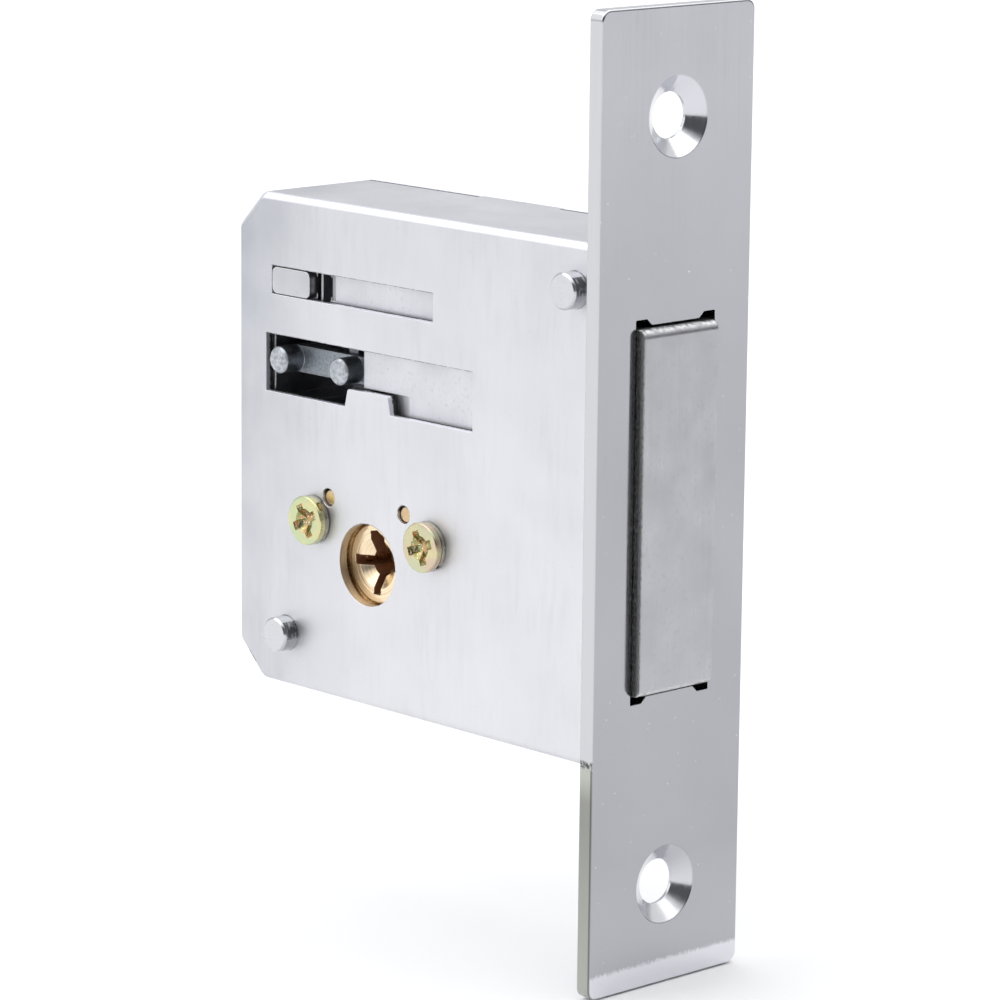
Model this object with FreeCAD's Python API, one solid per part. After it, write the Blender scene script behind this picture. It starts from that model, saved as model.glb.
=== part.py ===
import FreeCAD, Part
import math
import os

# Mortise deadbolt, in millimetres. +X is the way the bolt is thrown, +Z is up, and -Y is the side
# with the guide slots. The origin is midway between the two screw holes, on the back of the faceplate.

# Faceplate
plate_length = 117.0
plate_width = 25.0
plate_thickness = 2.0
plate_rise = 0.4
plate_corner_radius = 1.3
plate_edge_round = 0.25
plate_screw_spacing = 92.0
plate_screw_hole = 5.5
plate_countersink = 9.7
plate_countersink_land = 0.4

# Case: a folded tray, and a cover plate on the far side
case_thickness = 18.5
sheet = 1.2
tail_to_rear_wall = 2.8
post_to_top_wall = 2.25
finger_to_bottom_wall = 0.26
case_chamfer = 4.5
case_corner_round = 1.6
case_bend_radius = 1.0
flange_to_screw_hole = 6.3
flange_side_margin = 2.2
tab_front = 26.0
tab_length = 14.5
rear_tab_length = 16.0
tab_clearance = 0.05

# Bolt
throw = 22.5
bolt_proud = 1.3
bolt_width = 12.4
bolt_height = 43.8
bolt_rise = -0.2
bolt_edge_round = 0.3
bolt_end_round = 1.1
bolt_head_length = 28.0
bolt_side_clearance = 0.15
shoulder_clearance = 0.1
window_near_clearance = 0.2
window_far_clearance = 0.5
window_top_clearance = 0.3
window_bottom_clearance = 0.25
window_ear_width = 2.65
window_ear_slope = 0.8
window_ear_depth = 0.75
window_ear_round = 0.2

# Upper guide slot and the lug of the bolt that slides in it
guide_height = 20.6
lug_length = 7.0
lug_height = 3.3
lug_round = 0.8
lug_to_talon = 3.25
guide_clearance = 0.15
tail_behind_lug = 2.7
tail_over_lug = 0.95
lug_pocket_length = 2.6
lug_pocket_margin = 0.6
lug_pocket_depth = 3.5
lug_pocket_round = 1.2
lug_pocket_ramp = 0.85
lug_pocket_ramp_depth = 0.25
web_thickness = 0.35
web_from_lug = 0.7

# Locking lever and the stepped slot
stud_diameter = 3.4
stud_spacing = 11.3
slot_floor = 6.4
step_rise = 2.25
slot_height = 7.35
stud_play = 0.05
stud_setback = 0.1
stud_chamfer = 0.25
slot_rear_gap = 0.55
slot_front_gap = 0.3
step_lean = 0.5
step_round = 0.45
lever_lift_clearance = 0.15
lever_front_depth = 2.95
lever_thickness = 8.9
lever_front_length = 3.2
lever_front_round = 0.55
lever_pocket_clearance = 0.25
lever_pocket_top_margin = 0.85
talon_floor_drop = 0.8
front_relief_length = 5.8
front_relief_rise = 0.15
front_ramp = 2.55
front_ramp_depth = 0.4
nose_width = 3.6
nose_clearance = 0.1
peg_width = 1.7
peg_height = 3.2
peg_to_stud = 1.7

# Lever spring
spring_outer = 4.6
spring_wire = 0.5
spring_turns = 4.5
spring_seat_height = 5.45
spring_end_gap = 0.05
spring_seat_clearance = 0.35
spring_depth = 5.05

# Cylinder and key finger
backset = 43.3
cylinder_drop = 12.95
housing_to_tail = 0.65
finger_bite = 0.98
finger_half_width = 1.25
finger_tip_radius = 1.4
finger_root_share = 0.6
finger_thickness = 3.2
finger_step = 0.3
idle_clearance = 0.45
talon_half_width = 2.15
talon_mouth_half_width = 2.95
talon_mouth_height = 1.4
talon_side_clearance = 0.3
plug_hole = 10.35
groove_radius = 5.7
groove_depth = 1.05
housing_radius = 9.9
sleeve_thickness = 0.6
housing_flange = 2.0
housing_length = 7.3
plug_nose_radius = 5.05
plug_nose_recess = 0.42
plug_nose_round = 0.2
plug_radius = 6.2
plug_shoulder_depth = 1.85
running_clearance = 0.05
seat_clearance = 0.02
keyway_radius = 3.95
keyway_width = 1.25
keyway_depth = 6.15
key_core_radius = 1.7
upper_arm_half_width = 1.25
upper_arm_reach = 4.2
upper_arm_shoulder = 0.25
upper_arm_corner = 0.75
dish_radius = 3.2
dish_depth = 0.95
rim_radius = 3.85
rim_step = 0.08
tail_shaft_radius = 2.6
tail_shaft_flat = 2.0
tail_shaft_recess = 0.4
hub_radius = 5.2
hub_root_margin = 0.6
hub_gap = 0.15
clip_thickness = 0.6
clip_radius = 4.1
clip_groove_depth = 0.5
clip_mouth = 3.0

# Tumblers
tumbler_radius = 0.7
tumbler_clearance = 0.05
tumbler_pitch = 1.75
tumblers_in_row = 3
tumbler_first = 1.0
key_pin_into_keyway = 0.15
driver_length = 1.5
tumbler_spring_wall = 0.25

# Cylinder screws, lock washers and locating pins
screw_pair_shift = 0.6
screw_offset = 10.65
screw_rise = 4.25
screw_head = 6.2
screw_head_height = 0.9
screw_head_round = 0.22
screw_shank = 3.0
screw_hole = 3.4
screw_short_of_flange = 0.1
recess_arm = 1.75
recess_width = 0.85
recess_depth = 0.65
recess_angle = 22.0
washer_thickness = 0.7
washer_gap = 0.5
washer_gap_angle = 115.0
screw_lug_radius = 3.3
locating_pair_shift = -0.35
locating_offset = 6.95
locating_rise = 7.4
locating_pin = 2.0
locating_hole = 2.3
locating_recess = 0.35
locating_short_of_flange = 0.3
locating_wall = 0.8
locating_chamfer = 0.15

# Posts that hold the two sides apart
post_diameter = 4.4
post_stand = 2.2
post_chamfer = 0.25
front_post_setback = 7.2
post_over_bolt = 0.4
rear_post_angle = 36.3
rear_post_to_finger = 0.11
post_spigot = 3.2
post_rivet = 5.2
post_rivet_height = 0.5
post_rivet_chamfer = 0.3

# Places worked out from the sizes above
plate_back = 0.0
plate_front = plate_back + plate_thickness
near_face = -case_thickness / 2
near_inside = near_face + sheet
far_face = case_thickness / 2
far_inside = far_face - sheet
bolt_top = bolt_rise + bolt_height / 2
bolt_bottom = bolt_rise - bolt_height / 2
pad_near = near_inside + bolt_side_clearance
pad_far = far_inside - bolt_side_clearance
cylinder_x = plate_front - backset
axis_height = -cylinder_drop
cylinder_axis = (cylinder_x, axis_height)
talon_center = cylinder_x - throw / 2
tail_bottom = axis_height + housing_radius + housing_to_tail
finger_rise = tail_bottom + finger_bite - finger_tip_radius - axis_height
finger_reach = math.hypot(throw / 2, finger_rise)
engaged_half_angle = math.degrees(math.atan2(throw / 2, finger_rise))
finger_tip = finger_reach + finger_tip_radius
finger_top = axis_height + finger_tip
lug_rear = talon_center - lug_to_talon - lug_length / 2
lug_front = lug_rear + lug_length
guide_rear = lug_rear - guide_clearance
guide_front = lug_front + throw + guide_clearance
tail_rear = lug_rear - tail_behind_lug
tail_top = guide_height + lug_height / 2 + tail_over_lug
tail_front = plate_back - throw - shoulder_clearance
post_radius = post_diameter / 2
front_post = (plate_front - front_post_setback, max(tail_top, bolt_top) + post_over_bolt + post_radius)
case_rear = tail_rear - tail_to_rear_wall - sheet
case_top = front_post[1] + post_radius + post_to_top_wall + sheet
case_bottom = axis_height - finger_tip - finger_to_bottom_wall - sheet
case_middle = (case_top + case_bottom) / 2
flange_end = plate_screw_spacing / 2 - plate_screw_hole / 2 - flange_to_screw_hole
stud_radius = stud_diameter / 2
rear_stud = talon_center - stud_setback - stud_spacing / 2
front_stud = rear_stud + stud_spacing
slot_rear = rear_stud - stud_radius - slot_rear_gap
slot_front = front_stud + throw + stud_radius + slot_front_gap
slot_top = slot_floor + slot_height
step_rear = front_stud + stud_radius + stud_play + step_lean / 3
step_front = rear_stud + throw - stud_radius - stud_play - step_lean / 3
step_top = slot_floor + step_rise
stud_height = step_top + stud_radius + lever_lift_clearance
lever_rear = rear_stud - stud_radius
lever_front = front_stud + lever_front_length
lever_near = near_face + lever_front_depth
lever_far = lever_near + lever_thickness
lever_top = stud_height + stud_radius
pocket_rear = lever_rear - lever_pocket_clearance
pocket_front = lever_front + lever_pocket_clearance
pocket_far = lever_far + lever_pocket_clearance
pocket_floor = slot_floor - talon_floor_drop
pocket_top = slot_top + lever_pocket_top_margin
spring_seat = lever_top + spring_seat_height
spring_x = front_stud - peg_to_stud
spring_y = near_face + spring_depth
housing_back = near_inside + housing_length
barrel_radius = housing_radius - sleeve_thickness
flange_back = near_inside + housing_flange
hub_near = housing_back + hub_gap
finger_near = hub_near + finger_step
finger_far = finger_near + finger_thickness
plug_face = near_inside + plug_nose_recess
plug_shoulder = near_inside + plug_shoulder_depth
plug_back = housing_back - running_clearance
clip_near = finger_far + running_clearance
clip_far = clip_near + clip_thickness
screw_middle = cylinder_x + screw_pair_shift
screw_height = axis_height + screw_rise
locating_middle = cylinder_x + locating_pair_shift
locating_height = axis_height + locating_rise
rear_post_out = finger_tip + rear_post_to_finger + post_radius
rear_post = (cylinder_x - rear_post_out * math.cos(math.radians(rear_post_angle)),
             axis_height - rear_post_out * math.sin(math.radians(rear_post_angle)))

X = FreeCAD.Vector(1, 0, 0)
Y = FreeCAD.Vector(0, 1, 0)
Z = FreeCAD.Vector(0, 0, 1)


def point(x, y, z):
    return FreeCAD.Vector(x, y, z)


def box(x0, x1, y0, y1, z0, z1):
    return Part.makeBox(x1 - x0, y1 - y0, z1 - z0, point(x0, y0, z0))


def rod(center, radius, y0, y1):
    """A cylinder along Y about a centre given as x and z."""
    return Part.makeCylinder(radius, y1 - y0, point(center[0], y0, center[1]), Y)


def tube(center, outer, inner, y0, y1):
    return rod(center, outer, y0, y1).cut(rod(center, inner, y0 - 1, y1 + 1))


def prism(corners, y0, y1):
    """A straight-sided outline in x and z, drawn out along Y."""
    loop = [point(x, y0, z) for x, z in corners]
    face = Part.Face(Part.makePolygon(loop + loop[:1]))
    return face.extrude(point(0, y1 - y0, 0))


def edges_along(solid, direction, chosen):
    """The straight edges parallel to a direction whose middle passes the test."""
    found = []
    for edge in solid.Edges:
        if len(edge.Vertexes) < 2 or edge.Curve.TypeId != "Part::GeomLine":
            continue
        span = edge.Vertexes[1].Point.sub(edge.Vertexes[0].Point)
        if abs(abs(span.normalize().dot(direction)) - 1) < 1e-6 and chosen(edge.CenterOfMass):
            found.append(edge)
    return found


def edges_in_plane(solid, y, chosen):
    """All edges that lie in one plane across Y and pass the test."""
    found = []
    for edge in solid.Edges:
        box_of_edge = edge.BoundBox
        if abs(box_of_edge.YMin - y) < 1e-6 and abs(box_of_edge.YMax - y) < 1e-6:
            if chosen(edge.CenterOfMass):
                found.append(edge)
    return found


def case_outline(inset):
    """The side view of the case, with its two rear corners cut off."""
    rear = case_rear + inset
    top = case_top - inset
    bottom = case_bottom + inset
    cut = case_chamfer - inset * (2 - math.sqrt(2))
    return rear, top, bottom, cut


def case_blank(inset, y0, y1, front):
    rear, top, bottom, cut = case_outline(inset)
    corners = [
        (front, bottom),
        (front, top),
        (rear + cut, top),
        (rear, top - cut),
        (rear, bottom + cut),
        (rear + cut, bottom),
    ]
    blank = prism(corners, y0, y1)
    rounded = edges_along(blank, Y, lambda c: c.x < rear + cut + 0.01)
    return blank.makeFillet(case_corner_round - inset, rounded)


def window_cut():
    """The opening for the bolt, with a relief at each corner that slopes on its inner side."""
    near = -bolt_width / 2 - window_near_clearance
    far = bolt_width / 2 + window_far_clearance
    top = bolt_top + window_top_clearance
    bottom = bolt_bottom - window_bottom_clearance
    ear_top = top + window_ear_depth
    ear_bottom = bottom - window_ear_depth
    cut = box(plate_back - 1, plate_front + 1, near, far, bottom, top)
    for edge, inward in ((near, 1), (far, -1)):
        foot = edge + inward * window_ear_width
        end = foot - inward * window_ear_slope
        corners = [(edge, ear_bottom), (edge, ear_top), (end, ear_top), (foot, top), (foot, bottom),
                   (end, ear_bottom)]
        loop = [point(plate_back - 1, y, z) for y, z in corners]
        face = Part.Face(Part.makePolygon(loop + loop[:1]))
        cut = cut.fuse(face.extrude(X * (plate_thickness + 2)))
    tips = edges_along(cut, X, lambda c: not ear_bottom + 0.01 < c.z < ear_top - 0.01)
    return cut.makeFillet(window_ear_round, tips)


def countersunk_hole(height):
    drill = Part.makeCylinder(plate_screw_hole / 2, plate_thickness + 2, point(plate_back - 1, 0, height), X)
    land = plate_back + plate_countersink_land
    cone = Part.makeCone(plate_screw_hole / 2, plate_countersink / 2, plate_front - land,
                         point(land, 0, height), X)
    return drill.fuse(cone)


def make_faceplate():
    low = plate_rise - plate_length / 2
    plate = box(plate_back, plate_front, -plate_width / 2, plate_width / 2, low, low + plate_length)
    plate = plate.makeFillet(plate_corner_radius, edges_along(plate, X, lambda c: True))
    front = [edge for edge in plate.Edges if edge.BoundBox.XMin > plate_front - 1e-6]
    plate = plate.makeFillet(plate_edge_round, front)
    plate = plate.cut(window_cut())
    for side in (-1, 1):
        plate = plate.cut(countersunk_hole(side * plate_screw_spacing / 2))
    return plate


def guide_slot(y0, y1):
    half = lug_height / 2 + guide_clearance
    return box(guide_rear, guide_front, y0, y1, guide_height - half, guide_height + half)


def stepped_slot(y0, y1):
    """The slot with a pocket at each end and a raised step between them, wider at its foot."""
    slot = box(slot_rear, slot_front, y0, y1, slot_floor, slot_top)
    step = prism([(step_rear - step_lean, slot_floor), (step_front + step_lean, slot_floor),
                  (step_front, step_top), (step_rear, step_top)], y0, y1)
    step = step.makeFillet(step_round, edges_along(step, Y, lambda c: c.z > step_top - 0.01))
    return slot.cut(step)


def screw_places():
    return [(screw_middle + side * screw_offset, screw_height) for side in (-1, 1)]


def locating_places():
    return [(locating_middle + side * locating_offset, locating_height) for side in (-1, 1)]


def make_case_body():
    shell = case_blank(0, near_face, far_inside, plate_back)
    bend = edges_in_plane(shell, near_face, lambda c: c.x < plate_back - 0.01)
    shell = shell.makeFillet(case_bend_radius, bend)
    shell = shell.cut(case_blank(sheet, near_inside, far_inside + 1, plate_back + 1))
    tab_end = plate_back - tab_front
    tab_rear = tab_end - tab_length
    half = rear_tab_length / 2
    additions = [
        box(tab_rear, tab_end, far_inside - 1, far_face, case_top - sheet, case_top),
        box(tab_rear, tab_end, far_inside - 1, far_face, case_bottom, case_bottom + sheet),
        box(case_rear, case_rear + sheet, far_inside - 1, far_face,
            case_middle - half, case_middle + half),
    ]
    flange_half = case_thickness / 2 - flange_side_margin
    for low, high in ((case_top - sheet, flange_end), (-flange_end, case_bottom + sheet)):
        additions.append(box(plate_back - sheet, plate_back, -flange_half, flange_half, low, high))
    for addition in additions:
        shell = shell.fuse(addition)
    y0 = near_face - 1
    y1 = near_inside + 0.5
    cuts = [
        guide_slot(y0, y1),
        stepped_slot(y0, y1),
        rod(cylinder_axis, plug_hole / 2, y0, y1),
        rod(front_post, post_diameter / 2, y0, y1),
        rod(rear_post, post_diameter / 2, y0, y1),
    ]
    cuts += [rod(place, screw_hole / 2, y0, y1) for place in screw_places()]
    cuts += [rod(place, locating_hole / 2, y0, y1) for place in locating_places()]
    for cut in cuts:
        shell = shell.cut(cut)
    return shell.removeSplitter()


def make_cover_plate():
    cover = case_blank(0, far_inside, far_face, plate_back)
    y0 = far_inside - 1
    y1 = far_face + 1
    tab_end = plate_back - tab_front + tab_clearance
    tab_rear = plate_back - tab_front - tab_length - tab_clearance
    half = rear_tab_length / 2 + tab_clearance
    depth = sheet + tab_clearance
    cuts = [
        box(tab_rear, tab_end, y0, y1, case_top - depth, case_top + 1),
        box(tab_rear, tab_end, y0, y1, case_bottom - 1, case_bottom + depth),
        box(case_rear - 1, case_rear + depth, y0, y1, case_middle - half, case_middle + half),
        guide_slot(y0, y1),
        rod(cylinder_axis, tail_shaft_radius + running_clearance, y0, y1),
        rod(front_post, post_spigot / 2, y0, y1),
        rod(rear_post, post_spigot / 2, y0, y1),
    ]
    for cut in cuts:
        cover = cover.cut(cut)
    return cover


def make_post(place):
    """A post through both sides, proud of the near side and riveted over the cover."""
    body = rod(place, post_diameter / 2, near_face - post_stand, far_inside)
    body = body.makeChamfer(post_chamfer, edges_in_plane(body, near_face - post_stand, lambda c: True))
    rivet = rod(place, post_rivet / 2, far_face, far_face + post_rivet_height)
    rivet = rivet.makeChamfer(post_rivet_chamfer,
                              edges_in_plane(rivet, far_face + post_rivet_height, lambda c: True))
    return body.fuse(rod(place, post_spigot / 2, far_inside - 1, far_face + 0.1)).fuse(rivet)


def make_bolt_head():
    half = bolt_width / 2
    head = box(plate_front - bolt_head_length, plate_front + bolt_proud, -half, half, bolt_bottom, bolt_top)
    ends = edges_along(head, Y, lambda c: c.x > plate_front)
    head = head.makeFillet(bolt_end_round, ends)
    sides = edges_along(head, Z, lambda c: c.x > plate_front)
    return head.makeFillet(bolt_edge_round, sides)


def guide_lug(y0, y1):
    half = lug_height / 2
    lug = box(lug_rear, lug_front, y0, y1, guide_height - half, guide_height + half)
    return lug.makeFillet(lug_round, edges_along(lug, Y, lambda c: True))


def lug_pocket():
    """The hollow in front of the near lug, with one thin web across it."""
    half = lug_height / 2 + guide_clearance + lug_pocket_margin
    front = lug_front + lug_pocket_length
    y0 = pad_near - 1
    y1 = pad_near + lug_pocket_depth
    pocket = box(lug_front, front, y0, y1, guide_height - half, guide_height + half)
    pocket = pocket.makeFillet(lug_pocket_round, edges_along(pocket, Y, lambda c: c.x > front - 0.01))
    web_start = lug_front + web_from_lug
    return pocket.cut(box(web_start, web_start + web_thickness, y0, y1,
                          guide_height - half, guide_height + half))


def ramp(start, length, depth, low, high):
    """A shallow wedge in the bolt's near side, deepest at its start, that runs out at the surface."""
    out = pad_near - 1
    loop = [point(start, out, low), point(start, pad_near + depth, low),
            point(start + length, pad_near, low), point(start + length, out, low)]
    face = Part.Face(Part.makePolygon(loop + loop[:1]))
    return face.extrude(Z * (high - low))


def talon():
    """The notch in which the key finger works, open at the foot of the tail and flared there."""
    mouth = tail_bottom + talon_mouth_height
    corners = [
        (talon_center - talon_mouth_half_width, tail_bottom - 1),
        (talon_center - talon_mouth_half_width, tail_bottom),
        (talon_center - talon_half_width, mouth),
        (talon_center - talon_half_width, pocket_floor + 1),
        (talon_center + talon_half_width, pocket_floor + 1),
        (talon_center + talon_half_width, mouth),
        (talon_center + talon_mouth_half_width, tail_bottom),
        (talon_center + talon_mouth_half_width, tail_bottom - 1),
    ]
    return prism(corners, pad_near - 1, finger_far + talon_side_clearance)


def make_bolt():
    bolt = make_bolt_head()
    bolt = bolt.fuse(box(tail_rear, tail_front, pad_near, pad_far, tail_bottom, tail_top))
    bolt = bolt.fuse(guide_lug(near_face, pad_near + 1))
    bolt = bolt.fuse(guide_lug(pad_far - 1, far_face))
    relief_top = step_top + front_relief_rise
    relief_front = pocket_front + front_relief_length
    lug_half = lug_height / 2
    seat_radius = spring_outer / 2 + spring_seat_clearance
    cuts = [
        rod(cylinder_axis, finger_tip + idle_clearance, near_face, far_face).cut(
            box(case_rear, plate_back, near_face - 1, far_face + 1, tail_bottom, case_top)),
        lug_pocket(),
        ramp(lug_front + lug_pocket_length, lug_pocket_ramp, lug_pocket_ramp_depth,
             guide_height - lug_half, guide_height + lug_half),
        box(pocket_rear, pocket_front, pad_near - 1, pocket_far, pocket_floor, pocket_top),
        box(pocket_front - 1, relief_front, pad_near - 1, pocket_far, pocket_floor, relief_top),
        ramp(relief_front, front_ramp, front_ramp_depth, pocket_floor, relief_top),
        Part.makeCylinder(seat_radius, spring_seat - pocket_top + 1,
                          point(spring_x, spring_y, pocket_top - 1), Z),
        talon(),
    ]
    for cut in cuts:
        bolt = bolt.cut(cut)
    return bolt.removeSplitter()


def make_locking_lever():
    """A cast slider with two round studs, a nose for the key finger and a peg for its spring."""
    bar = rod((rear_stud, stud_height), stud_radius, lever_near, lever_far)
    bar = bar.fuse(box(rear_stud, lever_front, lever_near, lever_far,
                       stud_height - stud_radius, stud_height + stud_radius))
    front_edges = edges_along(bar, Y, lambda c: c.x > lever_front - 0.01)
    bar = bar.makeFillet(lever_front_round, front_edges)
    lever = bar
    for place in (rear_stud, front_stud):
        stud = rod((place, stud_height), stud_radius, near_face, lever_near + 1)
        stud = stud.makeChamfer(stud_chamfer, edges_in_plane(stud, near_face, lambda c: True))
        lever = lever.fuse(stud)
    nose = box(talon_center - nose_width / 2, talon_center + nose_width / 2, finger_near, lever_far,
               finger_top + nose_clearance, stud_height)
    peg = box(spring_x - peg_width / 2, spring_x + peg_width / 2, spring_y - peg_width / 2,
              spring_y + peg_width / 2, stud_height, lever_top + peg_height)
    return lever.fuse(nose).fuse(peg).removeSplitter()


def helix_point(center, radius, start, rise, turns, share):
    angle = 2 * math.pi * turns * share
    place = point(center[0] + radius * math.cos(angle), center[1] + radius * math.sin(angle),
                  start + rise * share)
    slope = rise / (2 * math.pi * turns * radius)
    way = point(-math.sin(angle), math.cos(angle), slope)
    return place, way.normalize()


def arc_from_tangent(start, way, end):
    """The arc that leaves one point along a direction and ends at another point."""
    chord = end.sub(start)
    side = chord.sub(way * chord.dot(way)).normalize()
    radius = chord.Length ** 2 / (2 * chord.dot(side))
    middle = start.add(side * radius)
    half_way = start.sub(middle).add(end.sub(middle)).normalize()
    return Part.Arc(start, middle.add(half_way * radius), end).toShape()


def biarc(first, second):
    """Two arcs that join two points and match the direction at both."""
    start, way_in = first
    end, way_out = second
    chord = end.sub(start)
    both = way_in.add(way_out)
    turn = 2 * (1 - way_in.dot(way_out))
    reach = (-chord.dot(both) + math.sqrt(chord.dot(both) ** 2 + turn * chord.dot(chord))) / turn
    joint = start.add(end).add(way_in.sub(way_out) * reach) * 0.5
    way_joint = joint.sub(start.add(way_in * reach)).normalize()
    return [arc_from_tangent(start, way_in, joint), arc_from_tangent(joint, way_joint, end)]


def make_lever_spring():
    """An open coil between the lever and the seat in the bolt."""
    mean = (spring_outer - spring_wire) / 2
    low = lever_top + spring_end_gap + spring_wire / 2
    high = spring_seat - spring_end_gap - spring_wire / 2
    quarters = int(round(4 * spring_turns))
    center = (spring_x, spring_y)
    stations = [helix_point(center, mean, low, high - low, spring_turns, i / quarters)
                for i in range(quarters + 1)]
    path = []
    for first, second in zip(stations, stations[1:]):
        path += biarc(first, second)
    circle = Part.Wire(Part.Circle(stations[0][0], stations[0][1], spring_wire / 2).toShape())
    return Part.Wire(path).makePipeShell([circle], True, False)


def spring_self_gap():
    """The least gap between one turn of the lever spring and the next, taken on points."""
    mean = (spring_outer - spring_wire) / 2
    rise = spring_seat_height - 2 * spring_end_gap - spring_wire
    count = 400
    places = [helix_point((0, 0), mean, 0, rise, spring_turns, i / count)[0] for i in range(count + 1)]
    apart = int(count / spring_turns / 2)
    least = min(places[i].distanceToPoint(places[j])
                for i in range(count + 1) for j in range(i + apart, count + 1))
    return least - spring_wire


def row_angles():
    return [90.0 * i for i in range(4)]


def row_depths(first):
    return [first + tumbler_pitch * i for i in range(tumblers_in_row)]


def radial_rod(angle, depth, radius, inner, outer):
    """A cylinder that points away from the cylinder axis at one angle from +X."""
    way = point(math.cos(math.radians(angle)), 0, math.sin(math.radians(angle)))
    start = point(cylinder_x, depth, axis_height).add(way * inner)
    return Part.makeCylinder(radius, outer - inner, start, way)


def tumbler_places():
    first = plug_shoulder + tumbler_first
    return [(angle, depth) for angle in row_angles() for depth in row_depths(first)]


def make_housing():
    """The cylinder's body: a flange that the screws hold, and a barrel for the plug."""
    axis = cylinder_axis
    body = rod(axis, housing_radius, near_inside, flange_back)
    ends = screw_places()
    bar = box(ends[0][0] - screw_lug_radius, ends[1][0] + screw_lug_radius, near_inside, flange_back,
              axis_height, locating_height + locating_pin / 2 + locating_wall)
    bar = bar.makeFillet(screw_lug_radius * 0.8, edges_along(bar, Y, lambda c: True))
    body = body.fuse(bar).fuse(rod(axis, barrel_radius, near_inside, housing_back))
    cuts = [
        rod(axis, groove_radius, near_inside - 1, near_inside + groove_depth),
        rod(axis, plug_nose_radius + running_clearance, near_inside - 1, housing_back + 1),
        rod(axis, plug_radius + running_clearance, plug_shoulder - running_clearance, housing_back + 1),
    ]
    cuts += [rod(place, screw_shank / 2, near_inside - 1, flange_back + 1) for place in ends]
    cuts += [rod(place, locating_pin / 2, near_inside - 1, flange_back + 1) for place in locating_places()]
    bore = tumbler_radius + tumbler_clearance
    for angle, depth in tumbler_places():
        cuts.append(radial_rod(angle, depth, bore, plug_radius - 0.5, barrel_radius + 1))
    for cut in cuts:
        body = body.cut(cut)
    return body.removeSplitter()


def make_housing_sleeve():
    return tube(cylinder_axis, housing_radius, barrel_radius, flange_back, housing_back)


def keyway():
    """A round core with four arms at right angles, of which the upper one is wider than the rest."""
    half = keyway_width / 2
    y0 = plug_face - 1
    y1 = plug_face + keyway_depth
    x, z = cylinder_axis
    across = box(x - keyway_radius, x + keyway_radius, y0, y1, z - half, z + half)
    lower = box(x - half, x + half, y0, y1, z - keyway_radius, z)
    wide = upper_arm_half_width
    upper = prism([
        (x - wide, z),
        (x - wide, z + upper_arm_reach - upper_arm_shoulder),
        (x, z + upper_arm_reach),
        (x + wide, z + upper_arm_reach - upper_arm_corner),
        (x + wide, z),
    ], y0, y1)
    return across.fuse(lower).fuse(upper).fuse(rod(cylinder_axis, key_core_radius, y0, y1))


def turned(solid, angle):
    """A copy turned about the cylinder axis, where a positive angle carries the top forward."""
    copy = solid.copy()
    copy.rotate(point(cylinder_x, 0, axis_height), Y, angle)
    return copy


def shaft_with_flats(radius, flat, y0, y1):
    shaft = rod(cylinder_axis, radius, y0, y1)
    slab = box(cylinder_x - flat, cylinder_x + flat, y0, y1, axis_height - radius, axis_height + radius)
    return turned(shaft.common(slab), -engaged_half_angle)


def make_plug():
    axis = cylinder_axis
    plug = rod(axis, plug_nose_radius, plug_face, plug_shoulder + 0.5)
    plug = plug.makeFillet(plug_nose_round, edges_in_plane(plug, plug_face, lambda c: True))
    plug = plug.fuse(rod(axis, plug_radius, plug_shoulder, plug_back))
    plug = plug.fuse(shaft_with_flats(tail_shaft_radius, tail_shaft_flat, plug_back - 0.5, clip_near))
    plug = plug.fuse(rod(axis, tail_shaft_radius - clip_groove_depth, clip_near, clip_far))
    plug = plug.fuse(rod(axis, tail_shaft_radius, clip_far, far_face - tail_shaft_recess))
    step = rod(axis, rim_radius, plug_face - 1, plug_face + rim_step)
    dish = Part.makeCone(dish_radius, key_core_radius, dish_depth,
                         point(cylinder_x, plug_face + rim_step, axis_height), Y)
    plug = plug.cut(step).cut(dish).cut(keyway())
    bore = tumbler_radius + tumbler_clearance
    for angle, depth in tumbler_places():
        plug = plug.cut(radial_rod(angle, depth, bore, keyway_radius - 0.4, plug_radius + 1))
    return plug.removeSplitter()


def make_key_pins():
    inner = keyway_radius - key_pin_into_keyway
    outer = plug_radius - tumbler_clearance
    pins = []
    for angle, depth in tumbler_places():
        pin = radial_rod(angle, depth, tumbler_radius, inner, outer)
        pins.append(pin)
    return Part.makeCompound(pins)


def make_driver_pins():
    inner = plug_radius + 2 * tumbler_clearance
    return Part.makeCompound([radial_rod(angle, depth, tumbler_radius, inner, inner + driver_length)
                              for angle, depth in tumbler_places()])


def make_tumbler_springs():
    """Each small spring is drawn as the sleeve that it fills, closed inside the barrel."""
    inner = plug_radius + 2 * tumbler_clearance + driver_length + tumbler_clearance
    outer = barrel_radius - tumbler_clearance
    springs = []
    for angle, depth in tumbler_places():
        body = radial_rod(angle, depth, tumbler_radius, inner, outer)
        hollow = radial_rod(angle, depth, tumbler_radius - tumbler_spring_wall, inner - 1, outer + 1)
        springs.append(body.cut(hollow))
    return Part.makeCompound(springs)


def make_key_finger():
    """The hub on the plug's tail with the finger that lifts the lever and drives the bolt."""
    x, z = cylinder_axis
    hub = rod(cylinder_axis, hub_radius, hub_near, finger_far)
    arm = box(x - finger_half_width, x + finger_half_width, finger_near, finger_far, z, z + finger_reach)
    tip = rod((x, z + finger_reach), finger_tip_radius, finger_near, finger_far)
    root_half = hub_radius - hub_root_margin
    root_top = z + finger_reach * finger_root_share
    root = prism([(x - root_half, z), (x + root_half, z), (x + finger_half_width, root_top),
                  (x - finger_half_width, root_top)], finger_near, finger_far)
    cam = turned(hub.fuse(arm).fuse(tip).fuse(root), -engaged_half_angle)
    bore = shaft_with_flats(tail_shaft_radius + seat_clearance, tail_shaft_flat + seat_clearance,
                            hub_near - 1, finger_far + 1)
    return cam.cut(bore).removeSplitter()


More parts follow.
